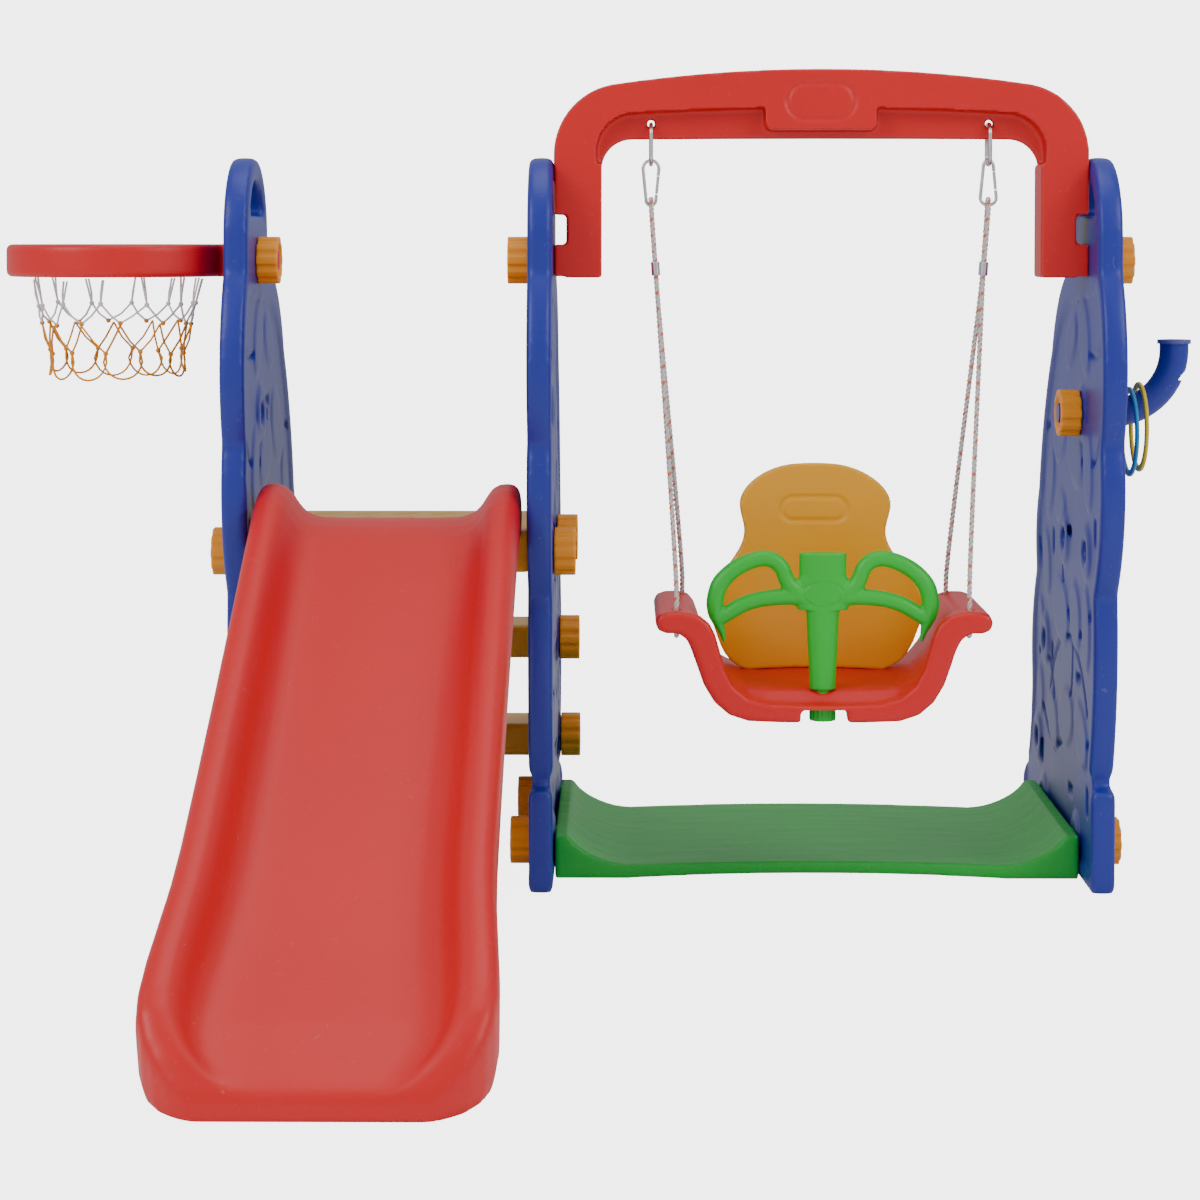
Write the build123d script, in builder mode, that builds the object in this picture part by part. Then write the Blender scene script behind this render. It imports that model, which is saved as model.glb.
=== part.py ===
"""A toddler's swing and slide set: three side panels, a slide, a hoop, a ring horn and a bucket swing.

Millimetres, +Z up. The origin is on the floor under the middle panel, and the slide leaves towards -Y.
"""

import math
import os

from build123d import *

os.makedirs("parts", exist_ok=True)

# Side panels: three alike, standing in YZ planes
panel_height = 1060
panel_thickness = 36
panel_recess = 5
rim_width = 30
edge_round = 6
slide_bay = 431
swing_bay = 808
arch_radius = 115
arch_tube = 33
arch_y = -250
foot_front = 333
foot_back = 333
tab_gap = 51
pebble_height = 3

# Moulded studs and the knobs that are screwed on to them
stud_diameter = 29
stud_clearance = 0.5
knob_diameter = 70
knob_length = 31
knob_flutes = 10
knob_gap = 0.3

# Platform, steps and base board
platform_top = 522
platform_depth = 290
platform_body = 62
platform_y = -155
platform_stud_spread = 191
step_height = 52
step_depth = 112
upper_step_y = 118
upper_step_z = 306
lower_step_y = 188
lower_step_z = 137
board_depth = 417
board_y = -26
board_end_height = 64
board_plate = 18
board_arch = 8
board_rim = 20
board_ramp = 112
board_stud_z = 45
board_stud_spread = 300
seat_in_gap = 0.3

# Slide
slide_top_width = 378
slide_end_width = 398
slide_rail_width = 44
slide_rail_height = 60
slide_wall = 24
slide_exit_y = -1346
slide_top_y = -292
slide_lip_height = 32

# Hoop, net and horn with its two rings
hoop_radius = 158
hoop_height = 47
hoop_wall = 22
hoop_reach = 188
net_top_radius = 126
net_bottom_radius = 90
net_drop = 153
net_wall = 4
horn_y = -205
horn_z = 686
horn_radius = 93
horn_rise = 108
horn_diameter = 42
horn_base_diameter = 54
horn_wall = 4
ring_diameter = 133
ring_width = 10
ring_thickness = 6

# Beam
beam_rise = 127
beam_drop = 25
beam_depth = 70
beam_web = 14
beam_web_bottom = 27
beam_leg = 51
plaque_width = 97
plaque_height = 52
groove = 2.5
hanger_spread = 245
hanger_hole = 12

# Hangers, ropes and crimps
link_wire = 6
link_width = 38
link_length = 58
link_corner = 14
hook_wire = 5
hook_length = 70
hook_wide = 11.5
hook_narrow = 7
gate_wire = 4.6
gate_length = 27
contact_gap = 0.3
rope_diameter = 8
ear_bend = 6
crimp_drop = 92
crimp_length = 20
crimp_width = 12.6

# Swing seat
seat_bottom = 255
seat_floor = 300
ear_top = 414
ear_thickness = 32
ear_span = 480
seat_depth = 250
seat_round = 8
ear_hole_front = 209
ear_hole_rear = 197
ear_hole_spread = 190
back_top = 607
back_thickness = 16
back_curve = 230
back_tab_spread = 140
guard_y = -85
guard_thickness = 28
guard_peg = 20
nut_diameter = 38
nut_height = 18
nut_fit = 0.06

# Places that follow from the sizes above
arch_z = panel_height - arch_radius
stud_z = arch_z - 34
half_panel = panel_thickness / 2
left_x = -slide_bay
right_x = swing_bay
step_x = -slide_bay / 2
step_half = slide_bay / 2 - half_panel - seat_in_gap
swing_x = swing_bay / 2
swing_half = swing_bay / 2 - half_panel - seat_in_gap
platform_stud_z = platform_top - 36
platform_studs = [platform_y - platform_stud_spread / 2, platform_y + platform_stud_spread / 2]
board_studs = [board_y - board_stud_spread / 2, board_y + board_stud_spread / 2]
stud_reach = panel_thickness + knob_gap + knob_length
tab_top = panel_height - arch_tube - tab_gap
stud_holes = [(arch_y, stud_z), (horn_y, horn_z), (upper_step_y, upper_step_z), (lower_step_y, lower_step_z)]
stud_holes += [(y, platform_stud_z) for y in platform_studs]
stud_holes += [(y, board_stud_z) for y in board_studs]


def save(part, name):
    """Labels a finished piece and writes its file."""
    part.label = name
    export_step(part, f"parts/{name}.step")


def side(x, direction=1):
    """A plane across X whose normal looks towards +X or -X, with its own y upwards."""
    return Plane(origin=(x, 0, 0), x_dir=(0, direction, 0), z_dir=(direction, 0, 0))


def front(y):
    """A plane across Y that looks forwards, with x and z as its own axes."""
    return Plane.XZ.offset(-y)


def inward(y, z, inset):
    """A point of the panel's edge, moved towards the panel's middle."""
    share = 1 - inset / math.dist((y, z), (-70, 430))
    return (-70 + (y + 70) * share, 430 + (z - 430) * share)


def scallops(points, inset):
    """A run of shallow arcs through points that are, in turn, a cusp, a crest and a cusp."""
    shifted = [inward(y, z, inset) for y, z in points]
    for start, crest, end in zip(shifted[0::2], shifted[1::2], shifted[2::2]):
        ThreePointArc(start, crest, end)


def panel_outline(inset, front_top, over_the_top, back_top):
    """The scalloped edge of a side panel in Y and Z, closed by its own run over the top."""
    foot = [(foot_back, 50), (foot_back, 0), (-foot_front, 0), (-foot_front, 148), (-307, 152)]
    Polyline(*[inward(y, z, inset) for y, z in foot])
    scallops([(-307, 152), (-345, 300), (-341, 431), (-393, 535), (-388, 650)], inset)
    ThreePointArc(inward(-388, 650, inset), inward(-409, 745, inset), front_top)
    over_the_top()
    ThreePointArc(back_top, (back_top[0] + 115, back_top[1] - 38), inward(57, 773, inset))
    scallops([(57, 773), (130, 672), (180, 545), (209, 478), (200, 410), (246, 310), (242, 224)], inset)
    ThreePointArc(inward(242, 224, inset), inward(268, 128, inset), inward(foot_back, 50, inset))


def arch():
    """The round handle over the top of a panel."""
    Line((arch_y - arch_radius, arch_z - 50), (arch_y - arch_radius, arch_z))
    ThreePointArc((arch_y - arch_radius, arch_z), (arch_y, panel_height), (arch_y + arch_radius, arch_z))
    Line((arch_y + arch_radius, arch_z), (arch_y + arch_radius, arch_z - 40))


def web_top():
    """The straight top of the recessed web, under the handle."""
    Line((arch_y - arch_radius + rim_width, arch_z - 78), (arch_y + arch_radius, arch_z - 95))


def relief_ovals():
    """Raised pebbles of the panel's web: centre y, centre z, half length, half width and turn."""
    return [
        (-262, 610, 62, 34, 78), (-150, 622, 66, 44, 20), (-20, 655, 70, 44, -40), (78, 560, 58, 32, -62),
        (-255, 372, 60, 30, 84), (-160, 380, 52, 40, 60), (-30, 372, 70, 48, 15), (110, 430, 52, 34, 70),
        (-215, 212, 60, 38, 30), (-80, 215, 66, 42, -10), (40, 190, 52, 36, 35), (-225, 800, 60, 38, 60),
        (-110, 790, 54, 32, -35), (-20, 530, 46, 26, 0), (168, 214, 40, 30, 80), (160, 330, 40, 24, 65),
    ]


def tack_slots():
    """Oblong pinch recesses where the two walls of the moulding meet: centre y, centre z and turn."""
    return [(-318, 520, 90), (-95, 500, 0), (52, 470, 90), (-185, 290, 0), (60, 290, 90), (-265, 120, 90),
            (-120, 110, 0), (150, 120, 90), (-120, 700, 0)]


rim = ((arch_y - arch_radius, arch_z - 50), arch, (arch_y + arch_radius, arch_z - 40))
web = ((arch_y - arch_radius + rim_width, arch_z - 78), web_top, (arch_y + arch_radius, arch_z - 95))

with BuildPart() as panel:
    with BuildSketch(side(0)) as outline:
        with BuildLine():
            panel_outline(0, *rim)
        make_face()
        cusps = outline.vertices().filter_by(lambda corner: abs(corner.Y - arch_z) > 1)
        fillet(cusps, edge_round + 2)
    extrude(amount=half_panel, both=True)
    rim_edges = panel.edges().filter_by(lambda edge: abs(abs(edge.center().X) - half_panel) < 0.1)
    fillet(rim_edges, edge_round)
    with BuildSketch(side(0)) as handhold:
        with Locations((arch_y, arch_z)):
            Circle(arch_radius - arch_tube)
        with Locations((arch_y, tab_top - arch_radius)):
            Rectangle(2 * arch_radius, 2 * arch_radius, mode=Mode.SUBTRACT)
        fillet(handhold.vertices(), edge_round + 2)
    extrude(amount=panel_thickness, both=True, mode=Mode.SUBTRACT)
    for look in (1, -1):
        with BuildSketch(side(look * half_panel)):
            with BuildLine():
                panel_outline(rim_width, *web)
            make_face()
            with Locations(*stud_holes):
                Circle(knob_diameter / 2 + 4, mode=Mode.SUBTRACT)
        extrude(amount=-look * panel_recess, mode=Mode.SUBTRACT)
        web_face = side(look * (half_panel - panel_recess))
        with BuildSketch(web_face):
            for y, z, long, wide, turn in relief_ovals():
                with Locations((y, z)):
                    Ellipse(long, wide, rotation=turn)
        extrude(amount=look * pebble_height)
        with BuildSketch(web_face.offset(look * pebble_height)):
            for y, z, turn in tack_slots():
                with Locations((y, z)):
                    SlotOverall(44, 18, rotation=turn)
        extrude(amount=-look * (pebble_height + 6), mode=Mode.SUBTRACT)
    with BuildSketch(side(-half_panel)):
        with Locations(*stud_holes):
            Circle(stud_diameter / 2 + stud_clearance)
    extrude(amount=panel_thickness, mode=Mode.SUBTRACT)
for panel_x, panel_name in ((left_x, "panel_left"), (0, "panel_middle"), (right_x, "panel_right")):
    with BuildPart() as placed:
        add(panel.part.moved(Location((panel_x, 0, 0))))
    save(placed.part, panel_name)


def stud(x, y, z, direction):
    """A moulded stud that leaves a side face at x, goes through the panel and ends flush with its knob."""
    with BuildSketch(Plane(origin=(x, y, z), z_dir=(direction, 0, 0))) as stud_end:
        Circle(stud_diameter / 2)
    extrude(stud_end.sketch, amount=stud_reach)


# Platform: a shallow box between the two panels of the climbing bay
with BuildPart() as platform:
    with Locations((step_x, platform_y, platform_top - platform_body / 2)):
        Box(2 * step_half, platform_depth, platform_body)
    fillet(platform.edges().filter_by(Axis.X), 8)
    with BuildSketch(Plane.XY.offset(platform_top)):
        with Locations((step_x, platform_y)):
            with GridLocations(60, 60, 5, 4):
                SlotOverall(44, 14, rotation=30)
    extrude(amount=-2, mode=Mode.SUBTRACT)
    for stud_y in platform_studs:
        for sign in (1, -1):
            stud(step_x + sign * step_half, stud_y, platform_stud_z, sign)
save(platform.part, "platform")

# Steps: two box treads behind the platform
for step_name, tread_y, tread_z in (
    ("step_upper", upper_step_y, upper_step_z),
    ("step_lower", lower_step_y, lower_step_z),
):
    with BuildPart() as step:
        with Locations((step_x, tread_y, tread_z)):
            Box(2 * step_half, step_depth, step_height)
        fillet(step.edges().filter_by(Axis.X), 8)
        with BuildSketch(Plane.XY.offset(tread_z + step_height / 2)):
            with Locations((step_x, tread_y)):
                with GridLocations(36, 30, 9, 3):
                    SlotOverall(24, 7, rotation=90)
        extrude(amount=-1.5, mode=Mode.SUBTRACT)
        for sign in (1, -1):
            stud(step_x + sign * step_half, tread_y, tread_z, sign)
    save(step.part, step_name)

# Slide: a chute with two rolled rails, hooked over the front of the platform
rail_line = [(slide_top_y, 590), (-345, 592), (-400, 578), (-621, 463), (-920, 309)]
rail_line += [(-1214, 154), (-1285, 120)]
bed_drop = slide_rail_height
bed_line = [(slide_top_y - 1, platform_top + 12), (-345, platform_top + 6), (-400, 578 - bed_drop)]
bed_line += [(-621, 463 - bed_drop), (-920, 309 - bed_drop), (-1190, 167 - bed_drop), (-1275, 62)]
bed_line += [(slide_exit_y - 1, slide_lip_height)]
under_line = [(slide_exit_y, 0), (-1262, 0), (-1190, 70), (-920, 309 - bed_drop - slide_wall)]
under_line += [(-621, 463 - bed_drop - slide_wall), (-400, 578 - bed_drop - slide_wall), (-345, 470)]
under_line += [(platform_y - platform_depth / 2 - seat_in_gap, 462)]
under_line += [(platform_y - platform_depth / 2 - seat_in_gap, platform_top + seat_in_gap)]
with BuildPart() as slide:
    with BuildSketch(side(step_x)):
        with BuildLine():
            Spline(rail_line[0], rail_line[1], rail_line[2], tangents=((-1, 0), (-0.887, -0.461)))
            Polyline(*rail_line[2:])
            Spline(rail_line[-1], (-1318, 84), (slide_exit_y, 24), tangents=((-0.9, -0.43), (0, -1)))
            Polyline((slide_exit_y, 24), *under_line, (slide_top_y, platform_top + seat_in_gap), rail_line[0])
        make_face()
    extrude(amount=slide_end_width / 2, both=True)
    with BuildSketch(Plane.XY) as plan:
        with BuildLine():
            half_top = slide_top_width / 2
            half_end = slide_end_width / 2
            Polyline(
                (step_x - half_top, slide_top_y + 1), (step_x - half_top, -400), (step_x - half_end, -1250),
                (step_x - half_end, slide_exit_y), (step_x + half_end, slide_exit_y),
                (step_x + half_end, -1250), (step_x + half_top, -400), (step_x + half_top, slide_top_y + 1),
                close=True,
            )
        make_face()
        fillet(plan.vertices().group_by(Axis.Y)[0], 70)
    extrude(amount=700, mode=Mode.INTERSECT)
    with BuildSketch(side(step_x)):
        with BuildLine():
            bed = FilletPolyline(*bed_line, radius=(60, 120, 300, 300, 200, 60))
            exit_edge = [(slide_exit_y - 40, slide_lip_height), (slide_exit_y - 40, 700)]
            Polyline(bed @ 1, *exit_edge, (0, 700), (0, bed_line[0][1]), bed @ 0)
        make_face()
    extrude(amount=slide_top_width / 2 - slide_rail_width, both=True, mode=Mode.SUBTRACT)
save(slide.part, "slide")

# Hoop: a moulded band with an arm that is screwed to the outer face of the left panel
hoop_x = left_x - hoop_reach
panel_face = left_x - half_panel - seat_in_gap
with BuildPart() as hoop:
    with BuildSketch(Plane.XY.offset(stud_z - hoop_height / 2)):
        with Locations((hoop_x, arch_y)):
            Circle(hoop_radius)
        with Locations(((hoop_x + hoop_radius + panel_face) / 2 - 20, arch_y)):
            Rectangle(panel_face - hoop_x - hoop_radius + 40, 66)
        with Locations((hoop_x, arch_y)):
            Circle(hoop_radius - hoop_wall, mode=Mode.SUBTRACT)
    extrude(amount=hoop_height)
    fillet(hoop.edges().filter_by(GeomType.CIRCLE).group_by(Axis.Z)[-1], 8)
    fillet(hoop.edges().filter_by(GeomType.CIRCLE).group_by(Axis.Z)[0], 8)
    stud(panel_face, arch_y, stud_z, 1)
save(hoop.part, "hoop")

# Net: the plain outer shape of the netting, open at the top and at the bottom
net_top = stud_z - hoop_height / 2 - contact_gap
with BuildPart() as net:
    with BuildSketch(Plane.XZ):
        with BuildLine():
            Polyline(
                (net_bottom_radius - net_wall, net_top - net_drop), (net_bottom_radius, net_top - net_drop),
                (net_top_radius, net_top), (net_top_radius - net_wall, net_top), close=True,
            )
        make_face()
    revolve(axis=Axis.Z)
with BuildPart() as hoop_net:
    add(net.part.moved(Location((hoop_x, arch_y, 0))))
save(hoop_net.part, "hoop_net")

# Beam: an arched box section whose legs come down the inner faces of two panels
beam_top = panel_height + beam_rise
web_bottom = panel_height + beam_web_bottom
leg_bottom = stud_z - beam_drop
leg_outer = swing_half - 18
leg_inner = leg_outer - beam_leg
recess_half = leg_inner + 8
recess_foot = web_bottom - 37


def beam_edge(out, top, corner, foot):
    """One arched edge of the beam in X and Z, from the left foot over the top to the right foot."""
    Line((swing_x - out, foot), (swing_x - out, top - corner[1]))
    ThreePointArc(
        (swing_x - out, top - corner[1]),
        (swing_x - out + 0.29 * corner[0], top - 0.29 * corner[1] - corner[2]),
        (swing_x - out + corner[0], top - corner[2]),
    )
    ThreePointArc(
        (swing_x - out + corner[0], top - corner[2]), (swing_x, top), (swing_x + out - corner[0], top - corner[2])
    )
    ThreePointArc(
        (swing_x + out - corner[0], top - corner[2]),
        (swing_x + out - 0.29 * corner[0], top - 0.29 * corner[1] - corner[2]),
        (swing_x + out, top - corner[1]),
    )
    Line((swing_x + out, top - corner[1]), (swing_x + out, foot))


with BuildPart() as beam:
    with BuildSketch(front(arch_y)):
        with BuildLine():
            beam_edge(swing_half, beam_top, (86, 118, 22), tab_top + 1)
            Polyline(
                (swing_x + swing_half, tab_top + 1), (swing_x + leg_outer, tab_top + 1),
                (swing_x + leg_outer, leg_bottom), (swing_x - leg_outer, leg_bottom),
                (swing_x - leg_outer, tab_top + 1), (swing_x - swing_half, tab_top + 1),
            )
        make_face()
        with BuildLine():
            beam_edge(leg_inner, web_bottom, (42, 46, 1), leg_bottom)
            Line((swing_x + leg_inner, leg_bottom), (swing_x - leg_inner, leg_bottom))
        make_face(mode=Mode.SUBTRACT)
        with BuildLine():
            beam_edge(recess_half, web_bottom + 45, (52, 62, 8), recess_foot)
            Line((swing_x + recess_half, recess_foot), (swing_x - recess_half, recess_foot))
        make_face(mode=Mode.SUBTRACT)
    extrude(amount=beam_depth / 2, both=True)
    with BuildSketch(front(arch_y)):
        with BuildLine():
            beam_edge(leg_inner + 28, web_bottom + 50, (52, 62, 8), leg_bottom)
            Line((swing_x + leg_inner + 28, leg_bottom), (swing_x - leg_inner - 28, leg_bottom))
        make_face()
        with BuildLine():
            beam_edge(leg_inner, web_bottom, (42, 46, 1), leg_bottom)
            Line((swing_x + leg_inner, leg_bottom), (swing_x - leg_inner, leg_bottom))
        make_face(mode=Mode.SUBTRACT)
    extrude(amount=beam_web / 2, both=True)
    with BuildSketch(front(arch_y)):
        with Locations((swing_x, web_bottom + 40)):
            RectangleRounded(160, 56, 10)
        for sign in (1, -1):
            with Locations((swing_x + sign * (leg_outer - 13), leg_bottom + beam_drop)):
                Rectangle(26, 2 * beam_drop)
            with Locations((swing_x + sign * (swing_half - 13), stud_z)):
                Rectangle(26, 2 * beam_drop - 4)
    extrude(amount=beam_depth / 2, both=True)
    with BuildSketch(front(arch_y - beam_depth / 2)):
        with Locations((swing_x, web_bottom + 54)):
            SlotOverall(plaque_width, plaque_height)
            SlotOverall(plaque_width - 2 * groove, plaque_height - 2 * groove, mode=Mode.SUBTRACT)
    extrude(amount=-groove, mode=Mode.SUBTRACT)
    with BuildSketch(front(arch_y)):
        with Locations(*[(swing_x + sign * hanger_spread, web_bottom + 22) for sign in (-1, 1)]):
            Circle(hanger_hole / 2)
    extrude(amount=beam_web, both=True, mode=Mode.SUBTRACT)
    for sign in (1, -1):
        stud(swing_x + sign * swing_half, arch_y, stud_z, sign)
save(beam.part, "beam")

# Base board: a low tie between the two panels of the swing bay
board_inner = swing_half - board_rim
low = swing_half - board_ramp
with BuildPart() as board:
    with BuildSketch(front(board_y)):
        with BuildLine():
            left_end = (swing_x - board_inner, board_end_height)
            right_end = (swing_x + board_inner, board_end_height)
            Polyline(
                left_end, (swing_x - swing_half, board_end_height), (swing_x - swing_half, 0), (swing_x - low, 0)
            )
            ThreePointArc((swing_x - low, 0), (swing_x, board_arch), (swing_x + low, 0))
            Polyline(
                (swing_x + low, 0), (swing_x + swing_half, 0), (swing_x + swing_half, board_end_height), right_end
            )
            Spline(
                right_end, (swing_x + board_inner - 32, 2 * board_plate), (swing_x + low, board_plate + 2),
                tangents=((-0.5, -0.85), (-1, -0.03)),
            )
            crown = (swing_x, board_plate + board_arch)
            ThreePointArc((swing_x + low, board_plate + 2), crown, (swing_x - low, board_plate + 2))
            Spline(
                (swing_x - low, board_plate + 2), (swing_x - board_inner + 32, 2 * board_plate), left_end,
                tangents=((-1, 0.03), (-0.5, 0.85)),
            )
        make_face()
    extrude(amount=board_depth / 2, both=True)
    for stud_y in board_studs:
        for sign in (1, -1):
            stud(swing_x + sign * swing_half, stud_y, board_stud_z, sign)
save(board.part, "base_board")

# Horn: a curved pipe on the outer face of the right panel, with two throwing rings hung on it
horn_x = right_x + half_panel + seat_in_gap
horn_bend_x = horn_x + 10
with BuildPart() as horn:
    with BuildLine():
        half_turn = horn_radius * math.sin(math.pi / 4)
        Line((horn_x, horn_y, horn_z), (horn_bend_x, horn_y, horn_z))
        ThreePointArc(
            (horn_bend_x, horn_y, horn_z),
            (horn_bend_x + half_turn, horn_y, horn_z + horn_radius - half_turn),
            (horn_bend_x + horn_radius, horn_y, horn_z + horn_radius),
        )
        Line(
            (horn_bend_x + horn_radius, horn_y, horn_z + horn_radius),
            (horn_bend_x + horn_radius, horn_y, horn_z + horn_rise),
        )
    with BuildSketch(Plane(origin=(horn_x, horn_y, horn_z), z_dir=(1, 0, 0))):
        Circle(horn_diameter / 2)
    sweep()
    with BuildSketch(Plane.XY.offset(horn_z + horn_rise - 6)):
        with Locations((horn_bend_x + horn_radius, horn_y)):
            Circle(horn_diameter / 2 + 3.5)
    extrude(amount=6)
    with BuildSketch(Plane.XY.offset(horn_z + horn_rise)):
        with Locations((horn_bend_x + horn_radius, horn_y)):
            Circle(horn_diameter / 2 - horn_wall)
    extrude(amount=-60, mode=Mode.SUBTRACT)
    with BuildSketch(Plane(origin=(horn_x, horn_y, horn_z), z_dir=(1, 0, 0))):
        Circle(horn_base_diameter / 2)
    extrude(amount=8)
    stud(horn_x, horn_y, horn_z, -1)
save(horn.part, "ring_horn")

for ring_name, ring_offset in (("ring_inner", 38), ("ring_outer", 52)):
    bend = math.asin((horn_x + ring_offset - horn_bend_x) / horn_radius)
    horn_crest = horn_z + horn_radius * (1 - math.cos(bend)) + horn_diameter / 2 / math.cos(bend)
    ring_centre = horn_crest + 2.4 - ring_diameter / 2 + ring_width
    with BuildPart() as ring:
        with BuildSketch(Plane(origin=(horn_x + ring_offset, horn_y, ring_centre), z_dir=(1, 0, 0))):
            Circle(ring_diameter / 2)
            Circle(ring_diameter / 2 - ring_width, mode=Mode.SUBTRACT)
        extrude(amount=ring_thickness / 2, both=True)
        fillet(ring.edges(), 2.4)
    save(ring.part, ring_name)


def knobs(name, places):
    """Fluted nuts screwed home on the studs: each place is a panel face at x, y, z and the way it looks."""
    with BuildPart() as nuts:
        for x, y, z, direction in places:
            base = Plane(origin=(x + direction * knob_gap, y, z), z_dir=(direction, 0, 0))
            with BuildSketch(base):
                Circle(knob_diameter / 2)
                with PolarLocations(knob_diameter / 2 + 3, knob_flutes):
                    Circle(6.5, mode=Mode.SUBTRACT)
            extrude(amount=knob_length)
            with BuildSketch(base.offset(knob_length)):
                Circle(knob_diameter / 2 - 10)
            extrude(amount=-4, mode=Mode.SUBTRACT)
            with BuildSketch(base):
                Circle(stud_diameter / 2 + knob_gap)
            extrude(amount=knob_length, mode=Mode.SUBTRACT)
    save(nuts.part, name)


bay_left = left_x - half_panel
bay_right = half_panel
knobs("hoop_knob", [(left_x + half_panel, arch_y, stud_z, 1)])
knobs("beam_knobs", [(-half_panel, arch_y, stud_z, -1), (right_x + half_panel, arch_y, stud_z, 1)])
knobs("horn_knob", [(right_x - half_panel, horn_y, horn_z, -1)])
climbing_faces = ((bay_left, -1), (bay_right, 1))
knobs("platform_knobs", [(x, y, platform_stud_z, d) for x, d in climbing_faces for y in platform_studs])
knobs("step_upper_knobs", [(x, upper_step_y, upper_step_z, d) for x, d in climbing_faces])
knobs("step_lower_knobs", [(x, lower_step_y, lower_step_z, d) for x, d in climbing_faces])
board_faces = ((-half_panel, -1), (right_x + half_panel, 1))
knobs("board_knobs", [(x, y, board_stud_z, d) for x, d in board_faces for y in board_studs])

# Hangers: an oval link through each web hole, a snap hook on the link and a sprung gate in the hook
link_pivot_z = web_bottom + 21
link_bottom = link_pivot_z - link_length
hook_top = link_bottom + link_wire / 2 + contact_gap + hook_wire / 2
hook_pin = hook_top - hook_length + hook_wire
hook_span = hook_length - hook_wire - hook_wide - hook_narrow

for link_name, sign in (("link_left", -1), ("link_right", 1)):
    link_x = swing_x + sign * hanger_spread
    with BuildPart() as link:
        with BuildLine():
            FilletPolyline(
                (link_x, arch_y, link_pivot_z), (link_x, arch_y - link_width / 2, link_pivot_z),
                (link_x, arch_y - link_width / 2, link_bottom), (link_x, arch_y, link_bottom), radius=link_corner,
            )
        with BuildSketch(Plane(origin=(link_x, arch_y, link_pivot_z), z_dir=(0, -1, 0))):
            Circle(link_wire / 2)
        sweep()
        mirror(about=front(arch_y))
    save(link.part, link_name)


def hook_frame(sign, wide_up):
    """The snap hook's arc centres and radii, top first, and how far its sides lean."""
    radii = (hook_wide, hook_narrow) if wide_up else (hook_narrow, hook_wide)
    lean = math.asin((radii[0] - radii[1]) / hook_span)
    centres = (hook_top - radii[0], hook_pin + radii[1])
    return radii, centres, lean


for hook_side, sign, wide_up in (("left", -1, True), ("right", 1, False)):
    (top_radius, foot_radius), (top_centre, foot_centre), lean = hook_frame(sign, wide_up)
    hook_x = swing_x + sign * hanger_spread
    out = Vector(math.cos(lean), 0, -math.sin(lean))
    side_top = Vector(hook_x, arch_y, top_centre) + out * top_radius
    side_foot = Vector(hook_x, arch_y, foot_centre) + out * foot_radius
    along = (side_top - side_foot).normalized()
    gate_middle = (side_top + side_foot) * 0.5
    gate_top = gate_middle + along * (gate_length / 2)
    gate_foot = gate_middle - along * (gate_length / 2)
    mirrored_top = Vector(2 * hook_x - side_top.X, arch_y, side_top.Z)
    mirrored_foot = Vector(2 * hook_x - side_foot.X, arch_y, side_foot.Z)
    with BuildPart() as hook:
        with BuildLine():
            Line(gate_top, side_top)
            ThreePointArc(side_top, (hook_x, arch_y, hook_top), mirrored_top)
            Line(mirrored_top, mirrored_foot)
            ThreePointArc(mirrored_foot, (hook_x, arch_y, hook_pin), side_foot)
            Line(side_foot, gate_foot)
        with BuildSketch(Plane(origin=gate_top, z_dir=along)):
            Circle(hook_wire / 2)
        sweep()
    save(hook.part, "hook_" + hook_side)
    pivot = gate_foot + along * (contact_gap + gate_wire / 2)
    with BuildPart() as gate:
        with BuildSketch(Plane(origin=pivot, z_dir=along)):
            Circle(gate_wire / 2)
        extrude(amount=gate_length - 2 * contact_gap - gate_wire / 2)
        with Locations(pivot):
            Sphere(gate_wire / 2)
    save(gate.part, "hook_gate_" + hook_side)
    print("gate pivot", hook_side, pivot, "axis lean", math.degrees(lean))

# Ropes: each goes over its hook, down through the crimp and round under an ear of the seat
rope_radius = rope_diameter / 2
pin_wrap = hook_wire / 2 + 0.2 + rope_radius
strand = rope_radius + 0.3
crimp_z = hook_pin - crimp_drop
under_ear = ear_top - ear_thickness - rope_radius - 0.5
ear_reach = (ear_hole_front + ear_hole_rear) / 2
rope_slope = (hanger_spread - ear_reach) / (hook_pin - ear_top)
half_crimp = crimp_length / 2


def rope_x(sign, z):
    """Where a rope that leans in towards the seat stands at height z."""
    return swing_x + sign * (hanger_spread - rope_slope * (hook_pin - z))


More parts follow.
